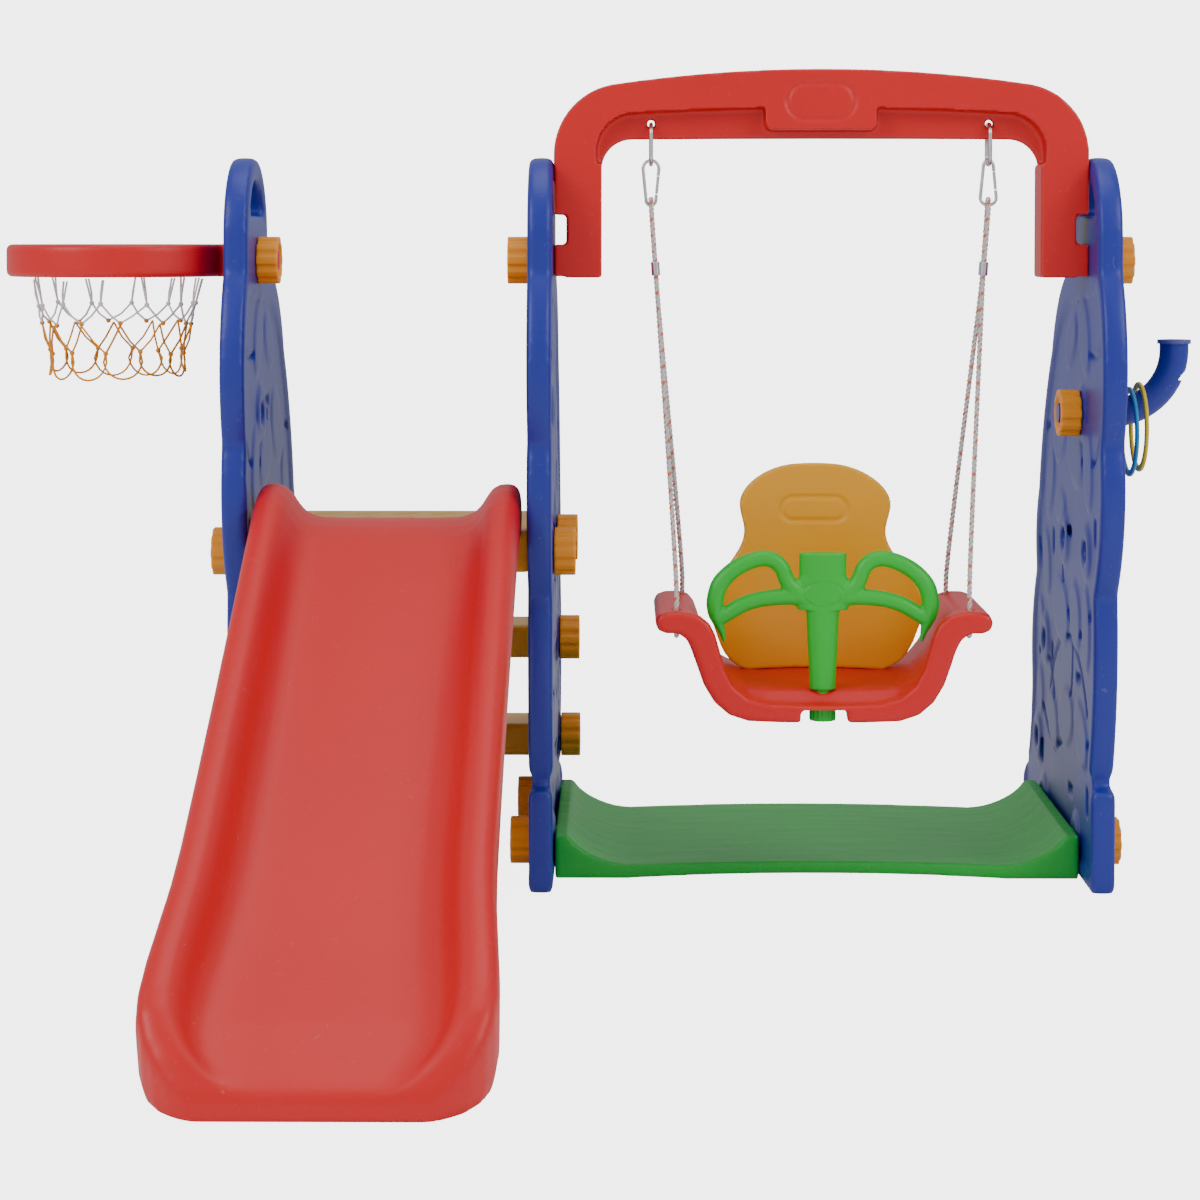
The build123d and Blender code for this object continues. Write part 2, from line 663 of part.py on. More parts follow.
for rope_side, sign in (("left", -1), ("right", 1)):
    route = [
        (rope_x(sign, crimp_z), arch_y + strand, crimp_z),
        (rope_x(sign, crimp_z + half_crimp + 2), arch_y + strand, crimp_z + half_crimp + 2),
        (rope_x(sign, hook_pin), arch_y + pin_wrap, hook_pin + pin_wrap),
        (rope_x(sign, hook_pin), arch_y - pin_wrap, hook_pin + pin_wrap),
        (rope_x(sign, crimp_z + half_crimp + 2), arch_y - strand, crimp_z + half_crimp + 2),
        (rope_x(sign, crimp_z - half_crimp - 2), arch_y - strand, crimp_z - half_crimp - 2),
        (swing_x + sign * ear_hole_front, arch_y - ear_hole_spread / 2, ear_top + 10),
        (swing_x + sign * ear_hole_front, arch_y - ear_hole_spread / 2, under_ear),
        (swing_x + sign * ear_hole_rear, arch_y + ear_hole_spread / 2, under_ear),
        (swing_x + sign * ear_hole_rear, arch_y + ear_hole_spread / 2, ear_top + 10),
        (rope_x(sign, crimp_z - half_crimp - 2), arch_y + strand, crimp_z - half_crimp - 2),
        (rope_x(sign, crimp_z - 0.6), arch_y + strand, crimp_z - 0.6),
    ]
    bends = [40, pin_wrap - 0.2, pin_wrap - 0.2, 40, 40, 40, ear_bend, ear_bend, 40, 40]
    with BuildPart() as rope:
        with BuildLine() as rope_line:
            FilletPolyline(*route, radius=bends)
        with BuildSketch(Plane(origin=route[0], z_dir=Vector(*route[1]) - Vector(*route[0]))):
            Circle(rope_radius)
        sweep()
    save(rope.part, "rope_" + rope_side)
    length = rope_line.wire().length
    print("rope", rope_side, "length", round(length, 1), "bend radii", bends)
    print("volume over section times length", rope.part.volume / (math.pi * rope_radius**2 * length))
    lean_axis = Vector(rope_x(sign, crimp_z + 1) - rope_x(sign, crimp_z), 0, 1)
    crimp_plane = Plane(origin=(rope_x(sign, crimp_z), arch_y, crimp_z), x_dir=(0, 1, 0), z_dir=lean_axis)
    with BuildPart() as crimp:
        with BuildSketch(crimp_plane):
            SlotCenterToCenter(2 * strand, crimp_width)
            with Locations((strand, 0), (-strand, 0)):
                Circle(rope_radius + 0.1, mode=Mode.SUBTRACT)
        extrude(amount=half_crimp, both=True)
    save(crimp.part, "crimp_" + rope_side)

# Seat: a U of thick moulded wall whose two ears carry the ropes
half_span = ear_span / 2
ear_under = ear_top - ear_thickness
tab_half = back_tab_spread / 2
tab_y = arch_y + seat_depth / 2 - 24
with BuildPart() as seat:
    with BuildSketch(front(arch_y)) as seat_face:
        with BuildLine():
            Polyline(
                (swing_x - half_span, ear_under + 4), (swing_x - half_span, ear_top), (swing_x - 184, ear_top)
            )
            Spline(
                (swing_x - 184, ear_top), (swing_x - 166, ear_top - 58), (swing_x - 112, seat_floor),
                tangents=((0.1, -1), (1, 0)),
            )
            Line((swing_x - 112, seat_floor), (swing_x + 112, seat_floor))
            Spline(
                (swing_x + 112, seat_floor), (swing_x + 166, ear_top - 58), (swing_x + 184, ear_top),
                tangents=((1, 0), (0.1, 1)),
            )
            Polyline(
                (swing_x + 184, ear_top), (swing_x + half_span, ear_top),
                (swing_x + half_span, ear_under + 4), (swing_x + 207, ear_under),
            )
            Spline(
                (swing_x + 207, ear_under), (swing_x + 178, seat_bottom + 55), (swing_x + 108, seat_bottom),
                tangents=((-0.15, -1), (-1, 0)),
            )
            Line((swing_x + 108, seat_bottom), (swing_x - 108, seat_bottom))
            Spline(
                (swing_x - 108, seat_bottom), (swing_x - 178, seat_bottom + 55), (swing_x - 207, ear_under),
                tangents=((-1, 0), (-0.15, 1)),
            )
            Line((swing_x - 207, ear_under), (swing_x - half_span, ear_under + 4))
        make_face()
        fillet(seat_face.vertices().filter_by(lambda corner: abs(corner.X - swing_x) > 180), seat_round + 2)
    extrude(amount=seat_depth / 2, both=True)
    rims = seat.edges().filter_by(lambda edge: abs(abs(edge.center().Y - arch_y) - seat_depth / 2) < 0.1)
    fillet(rims, seat_round)
    with BuildSketch(Plane.XY.offset(ear_top)):
        for sign in (1, -1):
            with Locations((swing_x + sign * ear_hole_front, arch_y - ear_hole_spread / 2)):
                Circle(rope_radius + 0.6)
            with Locations((swing_x + sign * ear_hole_rear, arch_y + ear_hole_spread / 2)):
                Circle(rope_radius + 0.6)
    extrude(amount=-ear_thickness - 12, mode=Mode.SUBTRACT)
    with BuildSketch(Plane.XY.offset(ear_under - 10)):
        for sign in (1, -1):
            with Locations((swing_x + sign * (ear_hole_rear - 5 + 30), arch_y)):
                Rectangle(60, ear_hole_spread + 10)
    extrude(amount=10, mode=Mode.SUBTRACT)
    with BuildSketch(Plane.XY.offset(seat_bottom)):
        with Locations((swing_x, arch_y + guard_y - 18)):
            Rectangle(66, 80)
    extrude(amount=nut_height + contact_gap, mode=Mode.SUBTRACT)
    with BuildSketch(Plane.XY.offset(seat_bottom)):
        with Locations((swing_x, arch_y + guard_y)):
            Circle(guard_peg / 2 + 0.5)
        with Locations((swing_x - tab_half, tab_y), (swing_x + tab_half, tab_y)):
            Rectangle(41, 13)
    extrude(amount=seat_floor, mode=Mode.SUBTRACT)
save(seat.part, "seat")

# Backrest: a curved plate with a round head, wide shoulders and two tabs that plug into the seat
back_y = arch_y + seat_depth / 2 - 14
foot_z = seat_floor + contact_gap
with BuildPart() as backrest:
    with BuildSketch(Plane.XY.offset(foot_z)):
        with Locations((swing_x, back_y - back_curve)):
            Circle(back_curve)
            Circle(back_curve - back_thickness, mode=Mode.SUBTRACT)
            with Locations((0, -back_curve / 2 - 60)):
                Rectangle(3 * back_curve, back_curve + 120 + 60, mode=Mode.SUBTRACT)
    extrude(amount=back_top - foot_z)
    with BuildSketch(front(back_y)):
        with BuildLine():
            Spline(
                (swing_x - 100, foot_z), (swing_x - 129, foot_z + 20), (swing_x - 150, foot_z + 66),
                (swing_x - 158, foot_z + 108),
                (swing_x - 128, foot_z + 160), (swing_x - 105, foot_z + 208), (swing_x - 112, foot_z + 250),
                (swing_x - 62, back_top - 8), (swing_x, back_top),
                (swing_x + 62, back_top - 8), (swing_x + 112, foot_z + 250), (swing_x + 105, foot_z + 208),
                (swing_x + 128, foot_z + 160), (swing_x + 158, foot_z + 108),
                (swing_x + 150, foot_z + 66), (swing_x + 129, foot_z + 20), (swing_x + 100, foot_z),
            )
            Line((swing_x + 100, foot_z), (swing_x - 100, foot_z))
        make_face()
    extrude(amount=back_curve, mode=Mode.INTERSECT)
    with BuildSketch(Plane.XY.offset(foot_z + 20)):
        with Locations((swing_x - tab_half, tab_y), (swing_x + tab_half, tab_y)):
            Rectangle(40, 12)
    extrude(amount=-48)
save(backrest.part, "backrest")

# Guard: a T-shaped bar with two handle loops, its peg screwed down through the seat
guard_z = seat_floor
guard_plane_y = arch_y + guard_y
with BuildPart() as guard:
    with BuildSketch(front(guard_plane_y)):
        with Locations((swing_x, guard_z + 135)):
            Ellipse(46, 38)
        with BuildLine():
            Polyline(
                (swing_x - 20, guard_z + contact_gap), (swing_x + 20, guard_z + contact_gap),
                (swing_x + 30, guard_z + 120), (swing_x - 30, guard_z + 120), close=True,
            )
        make_face()
        with Locations((swing_x, guard_z + 175)):
            RectangleRounded(68, 38, 8)
        for sign in (1, -1):
            with Locations((swing_x + sign * 103, guard_z + 149)):
                Ellipse(70, 43, rotation=-sign * 24)
            with BuildLine():
                Polyline(
                    (swing_x + sign * 166, guard_z + 134), (swing_x + sign * 163, guard_z + 70),
                    (swing_x + sign * 152, guard_z + 69), (swing_x + sign * 126, guard_z + 102),
                    (swing_x + sign * 104, guard_z + 120), close=True,
                )
            make_face()
            with Locations((swing_x + sign * 106, guard_z + 152)):
                Ellipse(44, 19, rotation=-sign * 26, mode=Mode.SUBTRACT)
            with Locations((swing_x + sign * 84, guard_z + 96)):
                Ellipse(50, 30, rotation=-sign * 10, mode=Mode.SUBTRACT)
    extrude(amount=guard_thickness / 2, both=True)
    with BuildSketch(front(guard_plane_y - guard_thickness / 2)):
        with Locations((swing_x, guard_z + 135)):
            Ellipse(33, 19)
            Ellipse(31, 17, mode=Mode.SUBTRACT)
    extrude(amount=-2, mode=Mode.SUBTRACT)
    with BuildSketch(Plane.XY.offset(guard_z + 10)):
        with Locations((swing_x, guard_plane_y)):
            Circle(guard_peg / 2)
    extrude(amount=seat_bottom - guard_z - 12)
save(guard.part, "guard")

with BuildPart() as guard_nut:
    with BuildSketch(Plane.XY.offset(seat_bottom - 1)):
        with Locations((swing_x, guard_plane_y)):
            Circle(nut_diameter / 2)
            with PolarLocations(nut_diameter / 2 + 1, 18):
                Circle(2, mode=Mode.SUBTRACT)
            Circle(guard_peg / 2 + nut_fit, mode=Mode.SUBTRACT)
    extrude(amount=nut_height)
save(guard_nut.part, "guard_nut")
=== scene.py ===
import math
import random

import bmesh
import bpy
from mathutils import Matrix, Vector


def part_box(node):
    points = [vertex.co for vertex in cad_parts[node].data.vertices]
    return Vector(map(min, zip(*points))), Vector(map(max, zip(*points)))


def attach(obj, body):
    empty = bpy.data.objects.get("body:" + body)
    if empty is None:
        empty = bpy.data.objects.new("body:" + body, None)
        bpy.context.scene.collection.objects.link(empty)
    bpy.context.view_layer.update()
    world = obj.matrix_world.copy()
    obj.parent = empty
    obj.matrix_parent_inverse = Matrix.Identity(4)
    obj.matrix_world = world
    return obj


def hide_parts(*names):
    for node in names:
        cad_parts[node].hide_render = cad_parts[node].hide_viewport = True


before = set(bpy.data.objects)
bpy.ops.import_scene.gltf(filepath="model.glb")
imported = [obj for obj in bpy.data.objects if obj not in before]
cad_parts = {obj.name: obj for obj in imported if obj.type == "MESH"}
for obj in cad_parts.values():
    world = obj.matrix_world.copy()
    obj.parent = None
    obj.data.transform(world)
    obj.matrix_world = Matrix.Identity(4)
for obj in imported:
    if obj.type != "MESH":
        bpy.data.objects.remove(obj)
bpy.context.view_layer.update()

# The studio: a pale floor, broad soft lamps and a long lens at a standing adult's chest height.
# The set stands free on the floor, seen square from the front with the slide towards the lens.

eye = bpy.data.cameras.new("lens")
eye.lens = 80.9
eye.sensor_width = 36
eye.shift_y = -0.2211
eye.clip_end = 60
camera = bpy.data.objects.new("camera", eye)
camera.location = (0.1166, -4.1775, 0.9397)
camera.rotation_euler = (math.radians(90 - 2), 0, math.radians(0.463))
bpy.context.collection.objects.link(camera)
bpy.context.scene.camera = camera

floor_mesh = bpy.data.meshes.new("floor")
floor_mesh.from_pydata([(-14, -9, 0), (14, -9, 0), (14, 14, 0), (-14, 14, 0)], [], [(0, 1, 2, 3)])
floor = bpy.data.objects.new("floor", floor_mesh)
bpy.context.collection.objects.link(floor)
paper = bpy.data.materials.new("studio_paper")
paper.use_nodes = True
paper.node_tree.nodes["Principled BSDF"].inputs["Base Color"].default_value = (0.95, 0.95, 0.95, 1)
paper.node_tree.nodes["Principled BSDF"].inputs["Roughness"].default_value = 0.8
glow = paper.node_tree.nodes.new("ShaderNodeEmission")
glow.inputs["Strength"].default_value = 5.4
lit = paper.node_tree.nodes.new("ShaderNodeMixShader")
paper.node_tree.links.new(paper.node_tree.nodes["Principled BSDF"].outputs[0], lit.inputs[1])
paper.node_tree.links.new(glow.outputs[0], lit.inputs[2])
paper.node_tree.links.new(lit.outputs[0], paper.node_tree.nodes["Material Output"].inputs["Surface"])
seen = paper.node_tree.nodes.new("ShaderNodeLightPath")
share = paper.node_tree.nodes.new("ShaderNodeMath")
share.operation = "MULTIPLY"
share.inputs[1].default_value = 0.82
paper.node_tree.links.new(seen.outputs["Is Camera Ray"], share.inputs[0])
paper.node_tree.links.new(share.outputs[0], lit.inputs["Fac"])
floor_mesh.materials.append(paper)

sky = bpy.data.worlds.new("studio_walls")
sky.use_nodes = True
sky.node_tree.nodes["Background"].inputs["Color"].default_value = (1, 1, 1, 1)
walls = sky.node_tree.nodes["Background"]
bright = sky.node_tree.nodes.new("ShaderNodeBackground")
bright.inputs["Color"].default_value = (1, 1, 1, 1)
bright.inputs["Strength"].default_value = 4.6
walls.inputs["Strength"].default_value = 0.62
facing = sky.node_tree.nodes.new("ShaderNodeLightPath")
either = sky.node_tree.nodes.new("ShaderNodeMixShader")
sky.node_tree.links.new(facing.outputs["Is Camera Ray"], either.inputs["Fac"])
sky.node_tree.links.new(walls.outputs[0], either.inputs[1])
sky.node_tree.links.new(bright.outputs[0], either.inputs[2])
sky.node_tree.links.new(either.outputs[0], sky.node_tree.nodes["World Output"].inputs["Surface"])
bpy.context.scene.world = sky

for lamp_name, place, width, power in (
    ("lamp_left", (-3.2, -3.0, 3.0), 2.2, 74),
    ("lamp_right", (3.4, -2.6, 2.8), 2.2, 56),
    ("lamp_top", (0.2, -0.4, 4.2), 2.6, 38),
):
    lamp = bpy.data.lights.new(lamp_name, "AREA")
    lamp.size = width
    lamp.energy = power
    lamp_object = bpy.data.objects.new(lamp_name, lamp)
    lamp_object.location = place
    aim = Vector((0.1, -0.2, 0.5)) - Vector(place)
    lamp_object.rotation_euler = aim.to_track_quat("-Z", "Y").to_euler()
    bpy.context.collection.objects.link(lamp_object)


# Side panels: three alike hollow polyethylene mouldings, each a fat rounded rim round a thinner web.
# Raised pebbles, curved grooves and oblong pinch marks stiffen the web, and its round holes take studs.


class Field:
    """One output of a shader node. Arithmetic on it adds Math nodes, and add() any other node."""

    def __init__(self, tree, socket=None):
        self.tree = tree
        self.socket = socket

    def add(self, kind, settings=None, values=None, output=0):
        node = self.tree.nodes.new(kind)
        for name, setting in (settings or {}).items():
            if name == "stops":
                for stop, (position, shade) in zip(node.color_ramp.elements, setting):
                    stop.position = position
                    stop.color = (shade, shade, shade, 1)
            else:
                setattr(node, name, setting)
        for name, value in (values or {}).items():
            if isinstance(value, Field):
                self.tree.links.new(value.socket, node.inputs[name])
            else:
                node.inputs[name].default_value = value
        return Field(self.tree, node.outputs[output])

    def maths(self, operation, *values):
        return self.add("ShaderNodeMath", {"operation": operation}, dict(enumerate(values)))

    def __add__(self, other):
        return self.maths("ADD", self, other)

    def __radd__(self, other):
        return self.maths("ADD", other, self)

    def __mul__(self, other):
        return self.maths("MULTIPLY", self, other)

    def mix(self, low, high):
        """A colour between low and high by this field."""
        return self.add(
            "ShaderNodeMix", {"data_type": "RGBA"}, {"Factor": self, 6: low, 7: high}, output=2
        )


def principled(name):
    """A new material, its shader and an empty field of its tree."""
    material = bpy.data.materials.new(name)
    material.use_nodes = True
    return material, material.node_tree.nodes["Principled BSDF"], Field(material.node_tree)


def tinted(colour, gain):
    return (*[min(channel * gain, 1) for channel in colour], 1)


def polyethylene(name, colour, roughness=0.33, ribs=0):
    """Moulded polyethylene: faint flow clouds in the colour, a fine skin texture, scuffs and rubbed edges."""
    material, shader, tree = principled(name)
    place = tree.add("ShaderNodeTexCoord", output="Object")
    clouds = tree.add("ShaderNodeTexNoise", None, {"Vector": place, "Scale": 4.0, "Detail": 3.0})
    skin = tree.add("ShaderNodeTexNoise", None, {"Vector": place, "Scale": 420.0, "Detail": 2.0})
    ripple = tree.add("ShaderNodeTexNoise", None, {"Vector": place, "Scale": 28.0, "Detail": 1.0})
    scratch = tree.add(
        "ShaderNodeTexNoise", None, {"Vector": place, "Scale": 55.0, "Detail": 6.0, "Distortion": 2.5}
    )
    scuffs = tree.add("ShaderNodeValToRGB", {"stops": ((0.66, 0), (0.78, 1))}, {"Fac": scratch})
    edge = tree.add("ShaderNodeNewGeometry", output="Pointiness")
    rubbed = tree.add("ShaderNodeValToRGB", {"stops": ((0.53, 0), (0.62, 1))}, {"Fac": edge})
    base = clouds.mix(tinted(colour, 0.93), tinted(colour, 1.07))
    pale = tuple(channel + (1 - channel) * 0.22 for channel in colour)
    worn = (scuffs * 0.25 + rubbed * 0.35).mix(base, (*pale, 1))
    tree.tree.links.new(worn.socket, shader.inputs["Base Color"])
    rough = roughness + clouds * 0.06 + scuffs * 0.12 + skin * 0.05
    tree.tree.links.new(rough.socket, shader.inputs["Roughness"])
    height = skin * 0.12 + ripple * 0.6
    if ribs:
        runs = tree.add("ShaderNodeMapping", None, {"Vector": place, "Scale": (0.25, 1, 0)})
        grain = tree.add("ShaderNodeTexNoise", None, {"Vector": runs, "Scale": ribs, "Detail": 2.0})
        height = height + grain * 6.0
    bump = tree.add("ShaderNodeBump", None, {"Height": height, "Strength": 0.35, "Distance": 0.0012})
    tree.tree.links.new(bump.socket, shader.inputs["Normal"])
    return material


def finished(piece, material, body, slot, *nodes):
    """Gives a piece its material and its body, and hides the frame nodes that it stands for. Its slot is not
    used.
    """
    piece.data.materials.clear()
    piece.data.materials.append(material)
    if piece.type == "MESH":
        piece.data.shade_smooth()
    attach(piece, body)
    if nodes:
        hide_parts(*nodes)
    return piece


def moulded(node, cell, rounds, mesh=None):
    """The soft-edged skin that a hollow mould gives a frame node, as one closed mesh."""
    rough_cut = bpy.data.objects.new(node + "_blank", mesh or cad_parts[node].data.copy())
    bpy.context.collection.objects.link(rough_cut)
    welded = bmesh.new()
    welded.from_mesh(rough_cut.data)
    bmesh.ops.remove_doubles(welded, verts=welded.verts, dist=1e-6)
    welded.to_mesh(rough_cut.data)
    welded.free()
    wrap = rough_cut.modifiers.new("wrap", "REMESH")
    wrap.mode = "VOXEL"
    wrap.voxel_size = cell
    soft = rough_cut.modifiers.new("soft", "SMOOTH")
    soft.factor = 0.5
    soft.iterations = rounds
    skin = bpy.data.meshes.new_from_object(rough_cut.evaluated_get(bpy.context.evaluated_depsgraph_get()))
    bpy.data.objects.remove(rough_cut)
    piece = bpy.data.objects.new(node + "_moulding", skin)
    bpy.context.collection.objects.link(piece)
    return piece


def rolled(piece, chosen, rounds):
    """Rounds the chosen part of a moulding further, as a fat rolled rim."""
    edge_group = piece.vertex_groups.new(name="rim")
    edge_group.add(chosen, 1.0, "REPLACE")
    soft = piece.modifiers.new("soft", "SMOOTH")
    soft.factor = 0.5
    soft.iterations = rounds
    soft.vertex_group = "rim"
    flat = piece.data
    piece.data = bpy.data.meshes.new_from_object(piece.evaluated_get(bpy.context.evaluated_depsgraph_get()))
    piece.modifiers.remove(soft)
    piece.vertex_groups.clear()
    bpy.data.meshes.remove(flat)


panel_blue = polyethylene("royal_blue_moulding", (0.010, 0.022, 0.30))
web_face = 0.0085
rim_start = 0.0146
groove_half = 0.008
groove_deepest = 0.0042
groove_arcs = (
    # centre y, centre z, radius, first and last angle in degrees
    (-0.250, 0.760, 0.150, 190, 330), (-0.060, 0.700, 0.175, 20, 120), (-0.180, 0.520, 0.165, 200, 330),
    (0.060, 0.520, 0.135, -60, 80), (-0.240, 0.330, 0.130, 150, 300), (0.030, 0.320, 0.165, 170, 330),
    (-0.100, 0.150, 0.190, 20, 150), (0.130, 0.180, 0.110, 60, 200), (-0.300, 0.900, 0.130, 240, 350),
)


def groove_depth(y, z):
    """How deep the mould presses a curved groove at a point of a panel's web, from 0 to 1."""
    deepest = 0
    for centre_y, centre_z, radius, first, last in groove_arcs:
        reach = math.hypot(y - centre_y, z - centre_z)
        off = abs(reach - radius)
        if off < groove_half:
            turn = (math.degrees(math.atan2(z - centre_z, y - centre_y)) - first) % 360
            if turn < last - first:
                deepest = max(deepest, math.cos(off / groove_half * math.pi / 2) ** 2)
    return deepest


for panel_node in ("panel_left", "panel_middle", "panel_right"):
    side = moulded(panel_node, 0.004, 4)
    low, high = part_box(panel_node)
    centre_x = (low[0] + high[0]) / 2
    rim = [
        vertex.index for vertex in side.data.vertices
        if abs(vertex.co.x - centre_x) > rim_start or abs(vertex.normal.x) < 0.5
    ]
    rolled(side, rim, 14)
    facing_x = [vertex.normal.x for vertex in side.data.vertices]
    for vertex, across in zip(side.data.vertices, facing_x):
        out = vertex.co.x - centre_x
        if web_face < abs(out) < rim_start and abs(across) > 0.9:
            vertex.co.x -= math.copysign(groove_deepest * groove_depth(vertex.co.y, vertex.co.z), out)
    finished(side, panel_blue, "frame", "blue_plastic", panel_node)


# Platform and steps: hollow yellow box mouldings with a raised tread pattern.
# Their own round studs go through the panels and take the orange knobs.

yellow_treads = polyethylene("yellow_tread_moulding", (0.78, 0.40, 0.006))
for tread_node in ("platform", "step_upper", "step_lower"):
    tread = moulded(tread_node, 0.0028, 3)
    finished(tread, yellow_treads, "frame", "yellow_plastic", tread_node)


# Slide: one red hollow moulding, a chute between two rolled rails that hooks over the platform's front.
# Its walls are lofted through cross-sections from the ears at the top to the rounded lip on the floor.

slide_red = polyethylene("red_slide_moulding", (0.66, 0.004, 0.006), 0.36)
slide_low, slide_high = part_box("slide")
slide_spacing = 0.02
slide_middle = (slide_low[0] + slide_high[0]) / 2
slide_stations = (
    # y, height of the chute, fall in degrees, half width, height of the rails, depth of the underside
    (-0.2935, 0.5390, 0, 0.1800, 0.0220, 0.0080), (-0.2960, 0.5400, 0, 0.1850, 0.0420, 0.0150),
    (-0.3050, 0.5400, 1, 0.1880, 0.0500, 0.0165), (-0.3250, 0.5380, 4, 0.1890, 0.0540, 0.0330),
    (-0.3550, 0.5320, 12, 0.1890, 0.0545, 0.0300), (-0.3850, 0.5220, 20, 0.1885, 0.0545, 0.0260),
    (-0.4200, 0.5060, 26, 0.1880, 0.0545, 0.0250), (-0.4700, 0.4815, 27, 0.1875, 0.0545, 0.0250),
    (-0.6210, 0.4030, 27.3, 0.1865, 0.0545, 0.0250), (-0.7700, 0.3260, 27.3, 0.1860, 0.0545, 0.0250),
    (-0.9200, 0.2490, 27.3, 0.1860, 0.0545, 0.0250), (-1.0300, 0.1925, 27.2, 0.1865, 0.0545, 0.0250),
    (-1.0900, 0.1620, 26.5, 0.1885, 0.0540, 0.0260), (-1.1500, 0.1320, 25, 0.1930, 0.0530, 0.0300),
    (-1.2050, 0.1060, 22, 0.1972, 0.0500, 0.0440), (-1.2500, 0.0850, 18, 0.1988, 0.0455, 0.0700),
    (-1.2800, 0.0690, 14, 0.1960, 0.0410, 0.0660), (-1.3050, 0.0545, 9, 0.1860, 0.0330, 0.0530),
    (-1.3230, 0.0450, 5, 0.1710, 0.0220, 0.0445), (-1.3360, 0.0370, 2, 0.1540, 0.0100, 0.0368),
    (-1.3430, 0.0310, 0, 0.1400, 0.0030, 0.0300), (-1.3458, 0.0220, 0, 0.1330, 0.0010, 0.0200),
)
slide_section = (
    # share of the half width, inwards offset in metres, share of the rail's height
    (0.00, 0.000, 0.00), (0.20, 0.000, 0.00), (0.38, 0.000, 0.00), (0.52, 0.000, 0.02), (1.0, -0.082, 0.06),
    (1.0, -0.070, 0.14), (1.0, -0.061, 0.28), (1.0, -0.054, 0.48), (1.0, -0.048, 0.70), (1.0, -0.041, 0.87),
    (1.0, -0.032, 0.97), (1.0, -0.020, 1.00), (1.0, -0.010, 0.97), (1.0, -0.004, 0.86), (1.0, -0.001, 0.68),
    (1.0, 0.000, 0.40), (1.0, 0.000, 0.05),
)


def station_ring(y, z, fall, half, rail, under):
    """The closed outline of one cross-section of the slide, once round, from the middle of the chute."""
    lean = math.radians(fall)
    profile = [(share * half + inwards, height * rail) for share, inwards, height in slide_section]
    profile += [(half - 0.001, -under * 0.6), (half - 0.006, -under * 0.92)]
    profile += [(half - 0.02, -under), (half * 0.45, -under)]
    ring = profile + [(0, -under)] + [(-x, h) for x, h in reversed(profile[1:])]
    return [(slide_middle + x, y - h * math.sin(lean), z + h * math.cos(lean)) for x, h in ring]


def between(first, second, share):
    return [a + (b - a) * share for a, b in zip(first, second)]


slide_rings = []
for first, second in zip(slide_stations, slide_stations[1:]):
    count = max(1, round(abs(second[0] - first[0]) / slide_spacing))
    slide_rings += [station_ring(*between(first, second, i / count)) for i in range(count)]
slide_rings.append(station_ring(*slide_stations[-1]))
around = len(slide_rings[0])
slide_points = [point for ring in slide_rings for point in ring]
slide_faces = [
    (r * around + i, r * around + (i + 1) % around, (r + 1) * around + (i + 1) % around, (r + 1) * around + i)
    for r in range(len(slide_rings) - 1) for i in range(around)
]
slide_faces += [tuple(range(around))[::-1], tuple(range((len(slide_rings) - 1) * around, len(slide_points)))]
slide_mesh = bpy.data.meshes.new("slide_chute")
slide_mesh.from_pydata(slide_points, [], slide_faces)


def outward(mesh):
    """Turns every face of a closed mesh outwards and closes its doubled points."""
    shell = bmesh.new()
    shell.from_mesh(mesh)
    bmesh.ops.remove_doubles(shell, verts=shell.verts, dist=1e-6)
    bmesh.ops.recalc_face_normals(shell, faces=shell.faces)
    shell.to_mesh(mesh)
    shell.free()


outward(slide_mesh)
slide_body = moulded("slide", 0.0045, 6, slide_mesh)
finished(slide_body, slide_red, "frame", "red_plastic", "slide")


# Hoop: a red moulded band on an arm, screwed through the left panel.
# The net below it is knotted from white cord above and orange cord below, on loops under the band.

hoop_skin = moulded("hoop", 0.003, 4)
finished(hoop_skin, slide_red, "frame", "red_plastic", "hoop")
net_low, net_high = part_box("hoop_net")
net_x = (net_low[0] + net_high[0]) / 2
net_y = (net_low[1] + net_high[1]) / 2
net_loops = 12
net_top_radius = 0.1235
net_taper = 0.036
net_cord_radius = 0.0016
net_knot_radius = 0.0038


def net_point(turn, drop):
    """A point of the netting: meshes along round the hoop, and share of the drop."""
    radius = net_top_radius - net_taper * drop
    angle = turn / net_loops * 2 * math.pi
    z = net_high[2] - 0.003 - drop * (net_high[2] - net_low[2] - 0.006)
    return (net_x + radius * math.cos(angle), net_y + radius * math.sin(angle), z)


